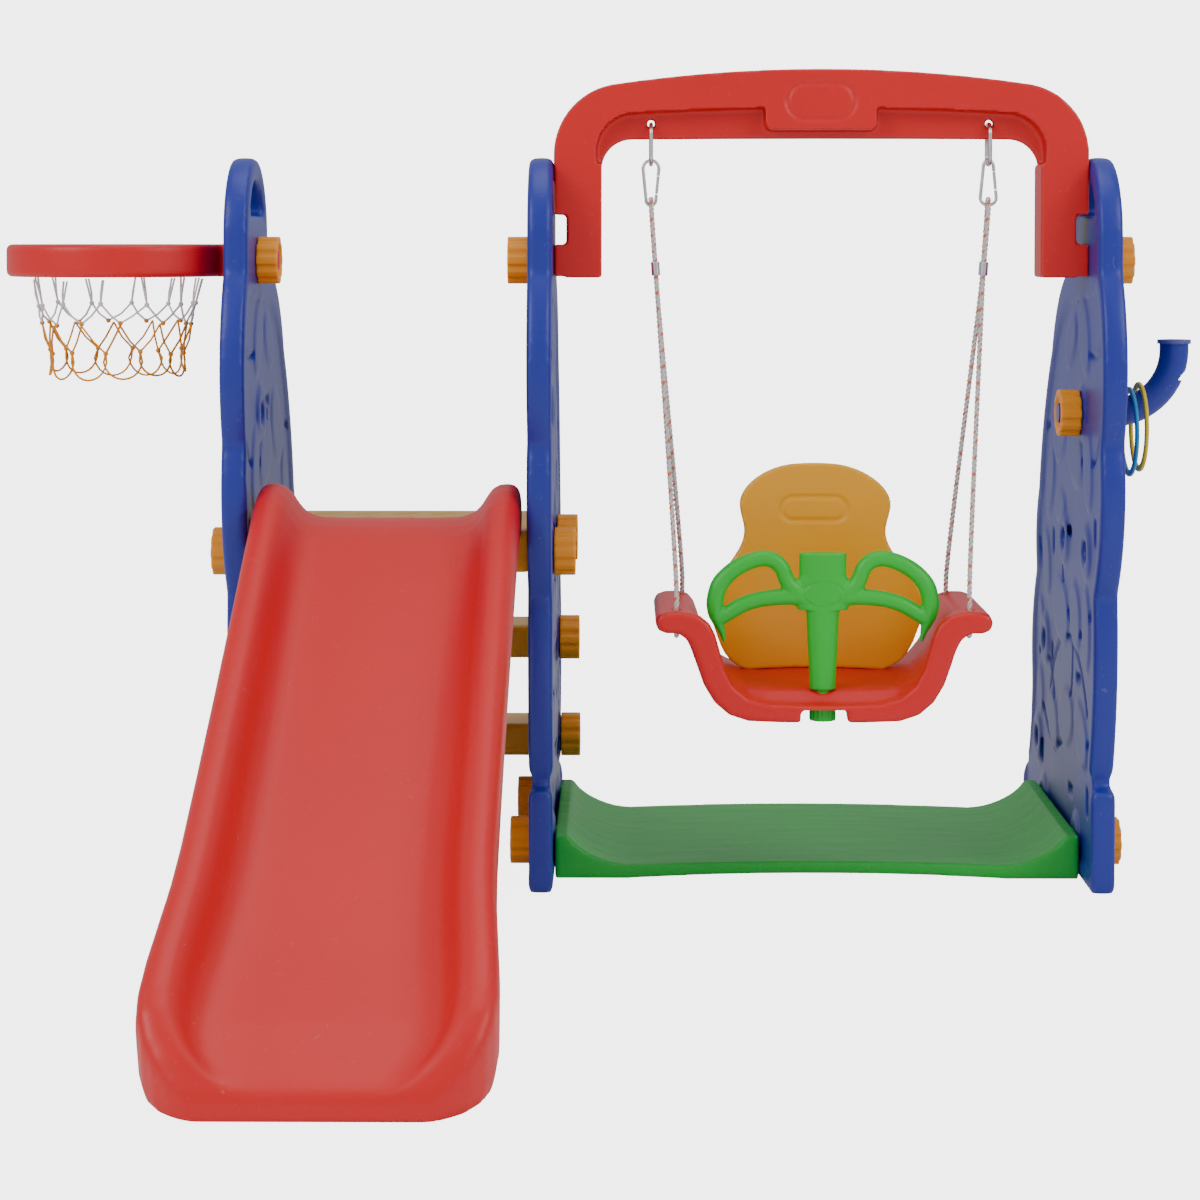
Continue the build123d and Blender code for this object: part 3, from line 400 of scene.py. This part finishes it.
def netting(name, rows, swing, hanging):
    """Cords from knot to knot down the rows of a net, and the places of their knots.

    A row at a half turn is shared by the meshes on its two sides. A hanging net ends in open loops.
    """
    sway = random.Random(swing)
    knots = [
        [
            net_point(i + half + sway.uniform(-0.1, 0.1), drop + sway.uniform(-0.02, 0.02))
            for i in range(net_loops)
        ]
        for half, drop in rows
    ]
    points, edges = [], []

    def cord(places):
        edges.extend((len(points) + j, len(points) + j + 1) for j in range(len(places) - 1))
        points.extend(tuple(place) for place in places)

    for (half, _), (next_half, _), upper, lower in zip(rows, rows[1:], knots, knots[1:]):
        steps = (0,) if half == next_half else ((0, 1) if half > next_half else (0, -1))
        for i in range(net_loops):
            for step in steps:
                start, end = Vector(upper[i]), Vector(lower[(i + step) % net_loops])
                drift = Vector((sway.uniform(-0.002, 0.002), sway.uniform(-0.002, 0.002), -0.003))
                middle = (start + end) / 2 + drift
                cord([start, start.lerp(middle, 0.55), middle, middle.lerp(end, 0.45), end])
            if len(steps) == 1:
                twin = Vector((0.005 * math.sin(i), 0.005 * math.cos(i), 0))
                cord([Vector(upper[i]) + twin, Vector(lower[i])])
    if hanging:
        bottom = rows[-1][0]
        for i in range(net_loops):
            start, end = Vector(knots[-1][i]), Vector(knots[-1][(i + 1) % net_loops])
            depth = sway.uniform(0.030, 0.040)
            loop = []
            for k in range(13):
                turn = math.pi * k / 12
                place = Vector(net_point(i + bottom + 0.5 - 0.56 * math.cos(turn), rows[-1][1]))
                place.z -= depth * math.sin(turn) ** 0.8
                loop.append(place)
            cord([start, *loop[1:-1], end])
    mesh = bpy.data.meshes.new(name)
    mesh.from_pydata(points, edges, [])
    return mesh, [knot for row in knots[1:] for knot in row]


def cord_tree(name, thickness):
    """A node tree that gives every edge of a mesh a round cord and every loose point a knot."""
    tree = bpy.data.node_groups.new(name, "GeometryNodeTree")
    tree.interface.new_socket("Geometry", in_out="INPUT", socket_type="NodeSocketGeometry")
    radius_socket = tree.interface.new_socket("Cord radius", in_out="INPUT", socket_type="NodeSocketFloat")
    radius_socket.default_value = thickness
    knot_socket = tree.interface.new_socket("Knot radius", in_out="INPUT", socket_type="NodeSocketFloat")
    knot_socket.default_value = thickness * 2
    tree.interface.new_socket("Material", in_out="INPUT", socket_type="NodeSocketMaterial")
    tree.interface.new_socket("Geometry", in_out="OUTPUT", socket_type="NodeSocketGeometry")
    entry = tree.nodes.new("NodeGroupInput")
    leave = tree.nodes.new("NodeGroupOutput")
    to_curve = tree.nodes.new("GeometryNodeMeshToCurve")
    section = tree.nodes.new("GeometryNodeCurvePrimitiveCircle")
    section.inputs["Resolution"].default_value = 6
    tubes = tree.nodes.new("GeometryNodeCurveToMesh")
    tubes.inputs["Fill Caps"].default_value = True
    neighbours = tree.nodes.new("GeometryNodeInputMeshVertexNeighbors")
    lonely = tree.nodes.new("FunctionNodeCompare")
    lonely.data_type = "INT"
    lonely.operation = "EQUAL"
    ball = tree.nodes.new("GeometryNodeMeshIcoSphere")
    ball.inputs["Subdivisions"].default_value = 2
    placed = tree.nodes.new("GeometryNodeInstanceOnPoints")
    joined = tree.nodes.new("GeometryNodeJoinGeometry")
    real = tree.nodes.new("GeometryNodeRealizeInstances")
    painted = tree.nodes.new("GeometryNodeSetMaterial")
    link = tree.links.new
    link(entry.outputs["Geometry"], to_curve.inputs["Mesh"])
    link(entry.outputs["Cord radius"], section.inputs["Radius"])
    link(to_curve.outputs["Curve"], tubes.inputs["Curve"])
    link(section.outputs["Curve"], tubes.inputs["Profile Curve"])
    link(neighbours.outputs["Vertex Count"], lonely.inputs[2])
    link(entry.outputs["Knot radius"], ball.inputs["Radius"])
    link(entry.outputs["Geometry"], placed.inputs["Points"])
    link(lonely.outputs["Result"], placed.inputs["Selection"])
    link(ball.outputs["Mesh"], placed.inputs["Instance"])
    link(tubes.outputs["Mesh"], joined.inputs["Geometry"])
    link(placed.outputs["Instances"], joined.inputs["Geometry"])
    link(joined.outputs["Geometry"], real.inputs["Geometry"])
    link(real.outputs["Geometry"], painted.inputs["Geometry"])
    link(entry.outputs["Material"], painted.inputs["Material"])
    link(painted.outputs["Geometry"], leave.inputs["Geometry"])
    return tree


def cord_fibre(name, colour, fleck):
    """Soft twisted cord: fine slanting threads, and paler or darker flecks of a second colour."""
    material, shader, tree = principled(name)
    place = tree.add("ShaderNodeTexCoord", output="Object")
    threads = tree.add(
        "ShaderNodeTexWave", {"bands_direction": "DIAGONAL"},
        {"Vector": place, "Scale": 260.0, "Distortion": 1.5}, output=1,
    )
    patches = tree.add("ShaderNodeTexNoise", None, {"Vector": place, "Scale": 120.0, "Detail": 2.0})
    spots = tree.add("ShaderNodeValToRGB", {"stops": ((0.56, 0), (0.62, 1))}, {"Fac": patches})
    shade = (threads * 0.6).mix(tinted(colour, 0.82), tinted(colour, 1.05))
    tree.tree.links.new((spots * 0.5).mix(shade, (*fleck, 1)).socket, shader.inputs["Base Color"])
    tree.tree.links.new((0.75 + threads * 0.15).socket, shader.inputs["Roughness"])
    bump = tree.add("ShaderNodeBump", None, {"Height": threads, "Strength": 0.5, "Distance": 0.0004})
    tree.tree.links.new(bump.socket, shader.inputs["Normal"])
    return material


def grown(name, mesh, tree, inputs):
    """An object whose node tree has been run once and turned into a plain mesh."""
    maker = bpy.data.objects.new(name + "_maker", mesh)
    bpy.context.collection.objects.link(maker)
    grow = maker.modifiers.new("grow", "NODES")
    grow.node_group = tree
    for item in tree.interface.items_tree:
        if item.in_out == "INPUT" and item.name in inputs:
            grow[item.identifier] = inputs[item.name]
    plain = bpy.data.meshes.new_from_object(maker.evaluated_get(bpy.context.evaluated_depsgraph_get()))
    bpy.data.objects.remove(maker)
    piece = bpy.data.objects.new(name, plain)
    bpy.context.collection.objects.link(piece)
    return piece


net_tree = cord_tree("netting", 0.0013)
white_cord = cord_fibre("white_net_cord", (0.86, 0.83, 0.83), (0.70, 0.67, 0.70))
orange_cord = cord_fibre("orange_net_cord", (0.90, 0.33, 0.003), (0.75, 0.18, 0.002))
net_rows = (
    ("net_upper", white_cord, ((0, 0.0), (0, 0.25), (0.5, 0.44)), 11, False),
    ("net_lower", orange_cord, ((0.5, 0.44), (0, 0.72)), 12, True),
)
shared_knots = []
for net_name, cord_material, rows, seed, hanging in net_rows:
    net_mesh, net_knots = netting(net_name, rows, seed, hanging)
    if hanging:
        net_knots += shared_knots
    shared_knots = net_knots[-net_loops:]
    if not hanging:
        net_knots = net_knots[:-net_loops]
    knot_mesh = bmesh.new()
    knot_mesh.from_mesh(net_mesh)
    for knot in net_knots:
        knot_mesh.verts.new(knot)
    knot_mesh.to_mesh(net_mesh)
    knot_mesh.free()
    net_inputs = {"Cord radius": net_cord_radius, "Knot radius": net_knot_radius, "Material": cord_material}
    cords = grown(net_name, net_mesh, net_tree, net_inputs)
    finished(cords, cord_material, "frame", "net_cord", "hoop_net")


# Beam: a red arched box section with a thinner web inside its rim and a plain raised plaque in the middle.
# Each leg comes down inside a panel and its stud goes through it.

beam_skin = moulded("beam", 0.003, 3)
beam_low, beam_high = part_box("beam")
beam_centre = 0.404
plaque_ring_half = 0.0225
plaque_ring_radius = 0.026
plaque_ring_drop = 0.046
plaque_groove_half = 0.0048
plaque_groove_depth = 0.0026
for vertex in beam_skin.data.vertices:
    across = max(abs(vertex.co.x - beam_centre) - plaque_ring_half, 0)
    up = vertex.co.z - beam_high[2] + plaque_ring_drop
    off = abs(math.hypot(across, up) - plaque_ring_radius)
    if vertex.co.y < beam_low[1] + 0.004 and off < plaque_groove_half:
        vertex.co.y += plaque_groove_depth * math.cos(off / plaque_groove_half * math.pi / 2)
finished(beam_skin, slide_red, "frame", "red_plastic", "beam")


# Base board: a green low tie with upswept ends.
# It keeps the two panels of the swing bay apart.

grained_green = polyethylene("grained_green_board_moulding", (0.006, 0.42, 0.035), 0.40, ribs=34)
board_skin = moulded("base_board", 0.004, 3)
finished(board_skin, grained_green, "frame", "green_plastic", "base_board")


# Ring horn: a blue curved pipe with an open flanged mouth, kept as the frame has it.
# Two slim toss rings hang on it.

horn_skin = bpy.data.objects.new("ring_horn_moulding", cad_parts["ring_horn"].data.copy())
bpy.context.collection.objects.link(horn_skin)
finished(horn_skin, panel_blue, "frame", "blue_plastic", "ring_horn")
sky_blue = polyethylene("light_blue_ring", (0.015, 0.26, 0.55), 0.28)
ring_yellow = polyethylene("yellow_ring", (0.80, 0.58, 0.01), 0.28)
for ring_node, ring_plastic, ring_slot in (
    ("ring_inner", sky_blue, "light_blue_plastic"), ("ring_outer", ring_yellow, "yellow_plastic"),
):
    finished(moulded(ring_node, 0.001, 3), ring_plastic, ring_node, ring_slot, ring_node)


# Knobs: fluted orange nuts, screwed by hand
# on to the ends of the moulded studs.

knob_orange = polyethylene("orange_knob_moulding", (0.95, 0.33, 0.002), 0.34)
for knob_node in (
    "hoop_knob", "beam_knobs", "horn_knob", "platform_knobs",
    "step_upper_knobs", "step_lower_knobs", "board_knobs",
):
    finished(moulded(knob_node, 0.0017, 3), knob_orange, "frame", "orange_plastic", knob_node)


# Hangers: bent and welded zinc-plated steel.
# An oval link goes through each hole of the beam's web, with a snap hook on the link and a crimp on the rope.


def plated_steel(name):
    """Bright zinc plate: cool grey with faint draw marks along the wire and a few dull spots."""
    material, shader, tree = principled(name)
    shader.inputs["Metallic"].default_value = 1
    place = tree.add("ShaderNodeTexCoord", output="Object")
    marks = tree.add(
        "ShaderNodeTexNoise", None, {"Vector": place, "Scale": 350.0, "Detail": 3.0, "Distortion": 1.0}
    )
    dull = tree.add("ShaderNodeTexNoise", None, {"Vector": place, "Scale": 60.0, "Detail": 2.0})
    grey = dull.mix((0.62, 0.63, 0.65, 1), (0.82, 0.82, 0.83, 1))
    tree.tree.links.new(grey.socket, shader.inputs["Base Color"])
    tree.tree.links.new((0.16 + dull * 0.18 + marks * 0.08).socket, shader.inputs["Roughness"])
    bump = tree.add("ShaderNodeBump", None, {"Height": marks, "Strength": 0.2, "Distance": 0.0002})
    tree.tree.links.new(bump.socket, shader.inputs["Normal"])
    return material


bright_zinc = plated_steel("bright_zinc_plate")
for steel_node, steel_body in (
    ("link_left", "link_left"), ("link_right", "link_right"), ("hook_left", "swing"), ("hook_right", "swing"),
    ("hook_gate_left", "gate_left"), ("hook_gate_right", "gate_right"),
    ("crimp_left", "swing"), ("crimp_right", "swing"),
):
    steel_piece = finished(moulded(steel_node, 0.0007, 2), bright_zinc, steel_body, "steel", steel_node)


# Ropes: three-strand white fibre rope with orange marker threads, doubled over each hook, pinched in a
# crimp and passed down through one hole of a seat ear and up through the other.

rope_lay = 0.022
hook_height = 0.9908
hook_half_gap = 0.245
rope_lean = 0.07259
front_hole_half_gap = 0.209
rear_hole_half_gap = 0.197


def lean_x(sign, z):
    """Where the leaning rope of one side stands at a height, from left to right."""
    return beam_centre + sign * (hook_half_gap - rope_lean * (hook_height - z))


rope_routes = {}
for rope_side, sign in (("left", -1), ("right", 1)):
    front_x = beam_centre + sign * front_hole_half_gap
    rear_x = beam_centre + sign * rear_hole_half_gap
    hook_x = lean_x(sign, hook_height)
    rope_routes[rope_side] = [
        (lean_x(sign, 0.8988), -0.2457, 0.8988), (lean_x(sign, 0.9108), -0.2457, 0.9108),
        (lean_x(sign, 0.975), -0.2430, 0.975), (hook_x, -0.2415, 0.9998), (hook_x, -0.2585, 0.9998),
        (lean_x(sign, 0.975), -0.2570, 0.975), (lean_x(sign, 0.9108), -0.2543, 0.9108),
        (lean_x(sign, 0.8868), -0.2543, 0.8868), (lean_x(sign, 0.8500), -0.2625, 0.8500),
        (front_x, -0.3352, 0.460), (front_x, -0.3450, 0.410), (front_x, -0.3465, 0.3745),
        (front_x, -0.3280, 0.3765), (rear_x, -0.1720, 0.3765),
        (rear_x, -0.1535, 0.3745), (rear_x, -0.1550, 0.410), (rear_x, -0.1648, 0.460),
        (lean_x(sign, 0.8500), -0.2375, 0.8500), (lean_x(sign, 0.8868), -0.2457, 0.8868),
        (lean_x(sign, 0.8982), -0.2457, 0.8982),
    ]


def spline_points(name, route, steps):
    """The smooth line of a route, as closely spaced points."""
    line = bpy.data.curves.new(name, "CURVE")
    line.dimensions = "3D"
    spline = line.splines.new("NURBS")
    spline.points.add(len(route) - 1)
    for point, place in zip(spline.points, route):
        point.co = (*place, 1)
    spline.order_u = 3
    spline.use_endpoint_u = True
    spline.resolution_u = steps
    holder = bpy.data.objects.new(name, line)
    bpy.context.collection.objects.link(holder)
    run = bpy.data.meshes.new_from_object(holder.evaluated_get(bpy.context.evaluated_depsgraph_get()))
    bpy.data.objects.remove(holder)
    return [vertex.co.copy() for vertex in run.vertices]


def even_points(points, gap):
    """The same line, with its points an even gap apart."""
    spaced, left = [points[0]], gap
    for start, end in zip(points, points[1:]):
        run = (end - start).length
        while run >= left:
            start = start.lerp(end, left / run)
            spaced.append(start)
            run -= left
            left = gap
        left -= run
    if (spaced[-1] - points[-1]).length > gap / 3:
        spaced.append(points[-1])
    return spaced


def laid_rope(name, points, strands, strand_radius, offset):
    """Strands wound round a line, each a closed round tube, with a marker value for its coloured threads."""
    verts, faces, marks = [], [], []
    side = Vector((1, 0, 0))
    travelled = 0
    rings = []
    for i, point in enumerate(points):
        along = (points[min(i + 1, len(points) - 1)] - points[max(i - 1, 0)]).normalized()
        side = (side - along * side.dot(along)).normalized()
        if i:
            travelled += (point - points[i - 1]).length
        rings.append((point, side.copy(), along.cross(side), travelled))
    for strand in range(strands):
        base = len(verts)
        for i, (point, across, up, gone) in enumerate(rings):
            turn = 2 * math.pi * (gone / rope_lay + strand / strands)
            centre = point + (across * math.cos(turn) + up * math.sin(turn)) * offset
            for k in range(8):
                angle = turn + 2 * math.pi * k / 8
                verts.append(centre + (across * math.cos(angle) + up * math.sin(angle)) * strand_radius)
                marks.append(1.0 if strand == 0 and k in (0, 1, 2, 6, 7) and (i // 3) % 2 else 0.0)
        for i in range(len(rings) - 1):
            for k in range(8):
                a, b = base + i * 8 + k, base + i * 8 + (k + 1) % 8
                faces.append((a, b, b + 8, a + 8))
        faces.append(tuple(base + k for k in range(7, -1, -1)))
        faces.append(tuple(base + (len(rings) - 1) * 8 + k for k in range(8)))
    mesh = bpy.data.meshes.new(name)
    mesh.from_pydata([tuple(place) for place in verts], [], faces)
    marker = mesh.attributes.new("marker", "FLOAT", "POINT")
    marker.data.foreach_set("value", marks)
    piece = bpy.data.objects.new(name, mesh)
    bpy.context.collection.objects.link(piece)
    return piece


def rope_fibre(name):
    """White rope fibre with orange marker threads in one strand and fine lengthwise hairs."""
    material, shader, tree = principled(name)
    place = tree.add("ShaderNodeTexCoord", output="Object")
    marker = tree.add("ShaderNodeAttribute", {"attribute_name": "marker"}, output="Fac")
    hairs = tree.add("ShaderNodeTexNoise", None, {"Vector": place, "Scale": 900.0, "Detail": 2.0})
    tone = hairs.mix((0.60, 0.57, 0.55, 1), (0.82, 0.80, 0.77, 1))
    tree.tree.links.new((marker * 0.9).mix(tone, (0.80, 0.12, 0.02, 1)).socket, shader.inputs["Base Color"])
    tree.tree.links.new((0.72 + hairs * 0.2).socket, shader.inputs["Roughness"])
    bump = tree.add("ShaderNodeBump", None, {"Height": hairs, "Strength": 0.4, "Distance": 0.0003})
    tree.tree.links.new(bump.socket, shader.inputs["Normal"])
    return material


marked_rope = rope_fibre("marked_white_rope")
for rope_side, route in rope_routes.items():
    line = even_points(spline_points("rope_line_" + rope_side, route, 24), 0.002)
    rope = laid_rope("rope_strands_" + rope_side, line, 3, 0.00215, 0.00185)
    finished(rope, marked_rope, "swing", "rope_fibre", "rope_" + rope_side)


# Seat: a red bucket with a thick rolled rim whose two ears carry the ropes, a yellow backrest that plugs
# into it, and a green T guard whose peg comes through the seat to a ribbed nut.

seat_low, seat_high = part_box("seat")
seat_rim = (
    # how the front rim runs: out from the middle along the floor, up over the ear and back underneath
    (0.000, 0.281), (0.040, 0.281), (0.080, 0.283), (0.106, 0.290), (0.128, 0.308), (0.140, 0.331),
    (0.147, 0.355), (0.154, 0.380), (0.162, 0.396), (0.177, 0.408), (0.199, 0.4135), (0.222, 0.4135),
    (0.235, 0.409), (0.240, 0.398), (0.236, 0.387), (0.225, 0.382), (0.207, 0.382), (0.195, 0.373),
    (0.187, 0.357), (0.180, 0.335), (0.171, 0.309), (0.156, 0.284), (0.135, 0.266), (0.108, 0.257),
    (0.060, 0.255), (0.000, 0.255),
)
seat_middle = (
    # the same points further back, where the floor is higher and the sides are thinner
    (0.000, 0.300), (0.040, 0.300), (0.080, 0.300), (0.110, 0.303), (0.140, 0.318), (0.158, 0.340),
    (0.168, 0.362), (0.174, 0.384), (0.180, 0.400), (0.188, 0.410), (0.201, 0.4135), (0.222, 0.4135),
    (0.235, 0.409), (0.240, 0.398), (0.236, 0.387), (0.225, 0.382), (0.207, 0.382), (0.196, 0.372),
    (0.189, 0.357), (0.181, 0.335), (0.171, 0.309), (0.157, 0.286), (0.136, 0.270), (0.108, 0.264),
    (0.060, 0.263), (0.000, 0.263),
)
seat_stations = (
    # gap from the edge, share of the rim's outline, size
    (0.000, 1.0, 0.84), (0.003, 1.0, 0.95), (0.010, 1.0, 1.0), (0.018, 0.9, 1.0), (0.026, 0.55, 1.0),
    (0.034, 0.2, 1.0), (0.044, 0.05, 1.0), (0.060, 0.0, 1.0), (0.125, 0.0, 1.0),
)
seat_rows = [(seat_low[1] + gap, share, size) for gap, share, size in seat_stations]
seat_rows += [(seat_high[1] - gap, 0.0, size) for gap, _, size in reversed(seat_stations[:-1])]
seat_points, seat_faces = [], []
for y, share, size in seat_rows:
    half_outline = [
        Vector(rim).lerp(Vector(middle), 1 - share) for rim, middle in zip(seat_rim, seat_middle)
    ]
    inset = (1 - size) * 0.03
    swollen = []
    for i, place in enumerate(half_outline):
        run = half_outline[min(i + 1, len(half_outline) - 1)] - half_outline[max(i - 1, 0)]
        swollen.append(place + Vector((run.y, -run.x)).normalized() * inset)
    outline = [(x, z) for x, z in swollen] + [(-x, z) for x, z in reversed(swollen[1:-1])]
    seat_points += [(beam_centre + x, y, z) for x, z in outline]
side_count = len(seat_points) // len(seat_rows)
for r in range(len(seat_rows) - 1):
    for i in range(side_count):
        j = (i + 1) % side_count
        near, far = r * side_count, (r + 1) * side_count
        seat_faces.append((near + i, near + j, far + j, far + i))
seat_faces.append(tuple(range(side_count)))
seat_faces.append(tuple(range(len(seat_points) - side_count, len(seat_points)))[::-1])
seat_blank = bpy.data.meshes.new("seat_blank")
seat_blank.from_pydata(seat_points, [], seat_faces)
outward(seat_blank)


def drilled(mesh, cutters):
    """A closed mesh with the shapes of a bmesh cut out of it."""
    blank = bpy.data.objects.new("blank", mesh)
    bpy.context.collection.objects.link(blank)
    cutter_mesh = bpy.data.meshes.new("cutter")
    cutters.to_mesh(cutter_mesh)
    cutter = bpy.data.objects.new("cutter", cutter_mesh)
    bpy.context.collection.objects.link(cutter)
    cut = blank.modifiers.new("cut", "BOOLEAN")
    cut.operation = "DIFFERENCE"
    cut.object = cutter
    rest = bpy.data.meshes.new_from_object(blank.evaluated_get(bpy.context.evaluated_depsgraph_get()))
    bpy.data.objects.remove(blank)
    bpy.data.objects.remove(cutter)
    return rest


seat_cutters = bmesh.new()
nut_pocket_middle = Matrix.Translation((beam_centre, seat_low[1] + 0.022, 0.2638))
nut_pocket_size = Matrix.Diagonal((0.066, 0.080, 0.0192, 1))
bmesh.ops.create_cube(seat_cutters, size=1, matrix=nut_pocket_middle @ nut_pocket_size)
rope_hole_radius = 0.0052
for hole_x, hole_y in (
    (-front_hole_half_gap, -0.345), (front_hole_half_gap, -0.345),
    (-rear_hole_half_gap, -0.155), (rear_hole_half_gap, -0.155),
):
    bmesh.ops.create_cone(
        seat_cutters, segments=24, radius1=rope_hole_radius, radius2=rope_hole_radius, depth=0.06,
        cap_ends=True, matrix=Matrix.Translation((beam_centre + hole_x, hole_y, 0.398)),
    )
seat_skin = moulded("seat", 0.0028, 5, drilled(seat_blank, seat_cutters))
seat_cutters.free()
finished(seat_skin, slide_red, "swing", "red_plastic", "seat")

amber = polyethylene("amber_backrest_moulding", (0.95, 0.43, 0.002), 0.34)
backrest_skin = moulded("backrest", 0.0025, 6)
head_plate_height = 0.539
head_plate_half = 0.031
head_plate_radius = 0.0175
head_groove_half = 0.0045
head_groove_depth = 0.0022
outlook = [vertex.normal.y for vertex in backrest_skin.data.vertices]
for vertex, toward_rear in zip(backrest_skin.data.vertices, outlook):
    if toward_rear > -0.5:
        continue
    past_end = max(abs(vertex.co.x - beam_centre) - head_plate_half, 0.0)
    from_line = abs(math.hypot(past_end, vertex.co.z - head_plate_height) - head_plate_radius)
    if from_line < head_groove_half:
        vertex.co.y += head_groove_depth * (1 - (from_line / head_groove_half) ** 2)
finished(backrest_skin, amber, "swing", "amber_plastic", "backrest")

leaf_green = polyethylene("green_guard_moulding", (0.003, 0.50, 0.025), 0.34)
guard_low, guard_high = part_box("guard")
guard_y = (guard_low[1] + guard_high[1]) / 2
guard_foot = 0.300
guard_handle = (
    # out from the middle, up from the seat, radius of the tube, all in metres
    (0.030, 0.134, 0.0130), (0.044, 0.142, 0.0125), (0.053, 0.157, 0.0120), (0.057, 0.171, 0.0120),
    (0.068, 0.183, 0.0120), (0.087, 0.187, 0.0120), (0.112, 0.179, 0.0122), (0.133, 0.166, 0.0125),
    (0.148, 0.149, 0.0130), (0.154, 0.129, 0.0132), (0.154, 0.112, 0.0130), (0.150, 0.097, 0.0095),
    (0.144, 0.081, 0.0050), (0.141, 0.068, 0.0030),
)
guard_strut = (
    (0.027, 0.130, 0.0130), (0.049, 0.131, 0.0122), (0.068, 0.130, 0.0120), (0.092, 0.127, 0.0118),
    (0.114, 0.120, 0.0118), (0.131, 0.110, 0.0118), (0.146, 0.099, 0.0100),
)


def rounded(line, rounds=3):
    """A line of points with its corners cut, again and again, into a smooth run."""
    for _ in range(rounds):
        cut = [point for a, b in zip(line, line[1:]) for point in (a.lerp(b, 0.25), a.lerp(b, 0.75))]
        line = [line[0], *cut, line[-1]]
    return line


def beads(line):
    """Balls strung closely along a line of places, each with a radius as its fourth value."""
    points, faces = [], []
    for start, end in zip(line, line[1:]):
        count = max(1, round((end - start).length / 0.0015))
        for i in range(count):
            spot = start.lerp(end, i / count)
            base = len(points)
            points += [tuple(spot.xyz + Vector(place) * spot.w) for place in ball_places]
            faces += [tuple(base + corner for corner in face) for face in ball_faces]
    return points, faces


ball_mesh = bmesh.new()
bmesh.ops.create_icosphere(ball_mesh, subdivisions=2, radius=1)
ball_places = [tuple(vertex.co) for vertex in ball_mesh.verts]
ball_faces = [tuple(vertex.index for vertex in face.verts) for face in ball_mesh.faces]
ball_mesh.free()
guard_points, guard_faces = [], []
for guard_line in (guard_handle, guard_strut):
    for mirror in (-1, 1):
        run = [Vector((beam_centre + mirror * x, guard_y, guard_foot + z, r)) for x, z, r in guard_line]
        points, faces = beads(rounded(run))
        guard_faces += [tuple(corner + len(guard_points) for corner in face) for face in faces]
        guard_points += points


def drum(foot, head, sides=40):
    """An upright oval drum on the guard's middle. Its foot and head are half width, half depth and height."""
    turns = [2 * math.pi * i / sides for i in range(sides)]
    ring = [(math.cos(turn), math.sin(turn)) for turn in turns]
    points = [(beam_centre + x * a, guard_y + y * b, z) for x, y, z in (foot, head) for a, b in ring]
    faces = [(i, (i + 1) % sides, sides + (i + 1) % sides, sides + i) for i in range(sides)]
    return points, faces + [tuple(range(sides))[::-1], tuple(range(sides, 2 * sides))]


for drum_sizes in (
    ((0.034, 0.0138, guard_foot + 0.164), (0.034, 0.0138, guard_foot + 0.194)),
    ((0.028, 0.0118, guard_foot + 0.150), (0.028, 0.0118, guard_foot + 0.168)),
    ((0.036, 0.0138, guard_foot + 0.112), (0.044, 0.0138, guard_foot + 0.136)),
    ((0.044, 0.0138, guard_foot + 0.136), (0.034, 0.0138, guard_foot + 0.162)),
    ((0.0182, 0.0138, guard_foot - 0.0020), (0.0245, 0.0138, guard_foot + 0.122)),
    ((0.0100, 0.0100, guard_low[2] + 0.0004), (0.0100, 0.0100, guard_foot + 0.010)),
):
    points, faces = drum(*drum_sizes)
    guard_faces += [tuple(corner + len(guard_points) for corner in face) for face in faces]
    guard_points += points
guard_blank = bpy.data.meshes.new("guard_blank")
guard_blank.from_pydata(guard_points, [], guard_faces)
guard_skin = moulded("guard", 0.0018, 5, guard_blank)
hub_height = 0.136
hub_half_width = 0.0285
hub_half_height = 0.0175
hub_groove_share = 0.09
hub_groove_depth = 0.0014
for vertex in guard_skin.data.vertices:
    across, up = vertex.co.x - beam_centre, vertex.co.z - guard_foot - hub_height
    off = abs(math.hypot(across / hub_half_width, up / hub_half_height) - 1)
    if vertex.co.y < guard_y - 0.005 and off < hub_groove_share:
        vertex.co.y += hub_groove_depth * math.cos(off / hub_groove_share * math.pi / 2)
finished(guard_skin, leaf_green, "swing", "green_plastic", "guard")
finished(moulded("guard_nut", 0.001, 1), leaf_green, "guard_nut", "green_plastic", "guard_nut")
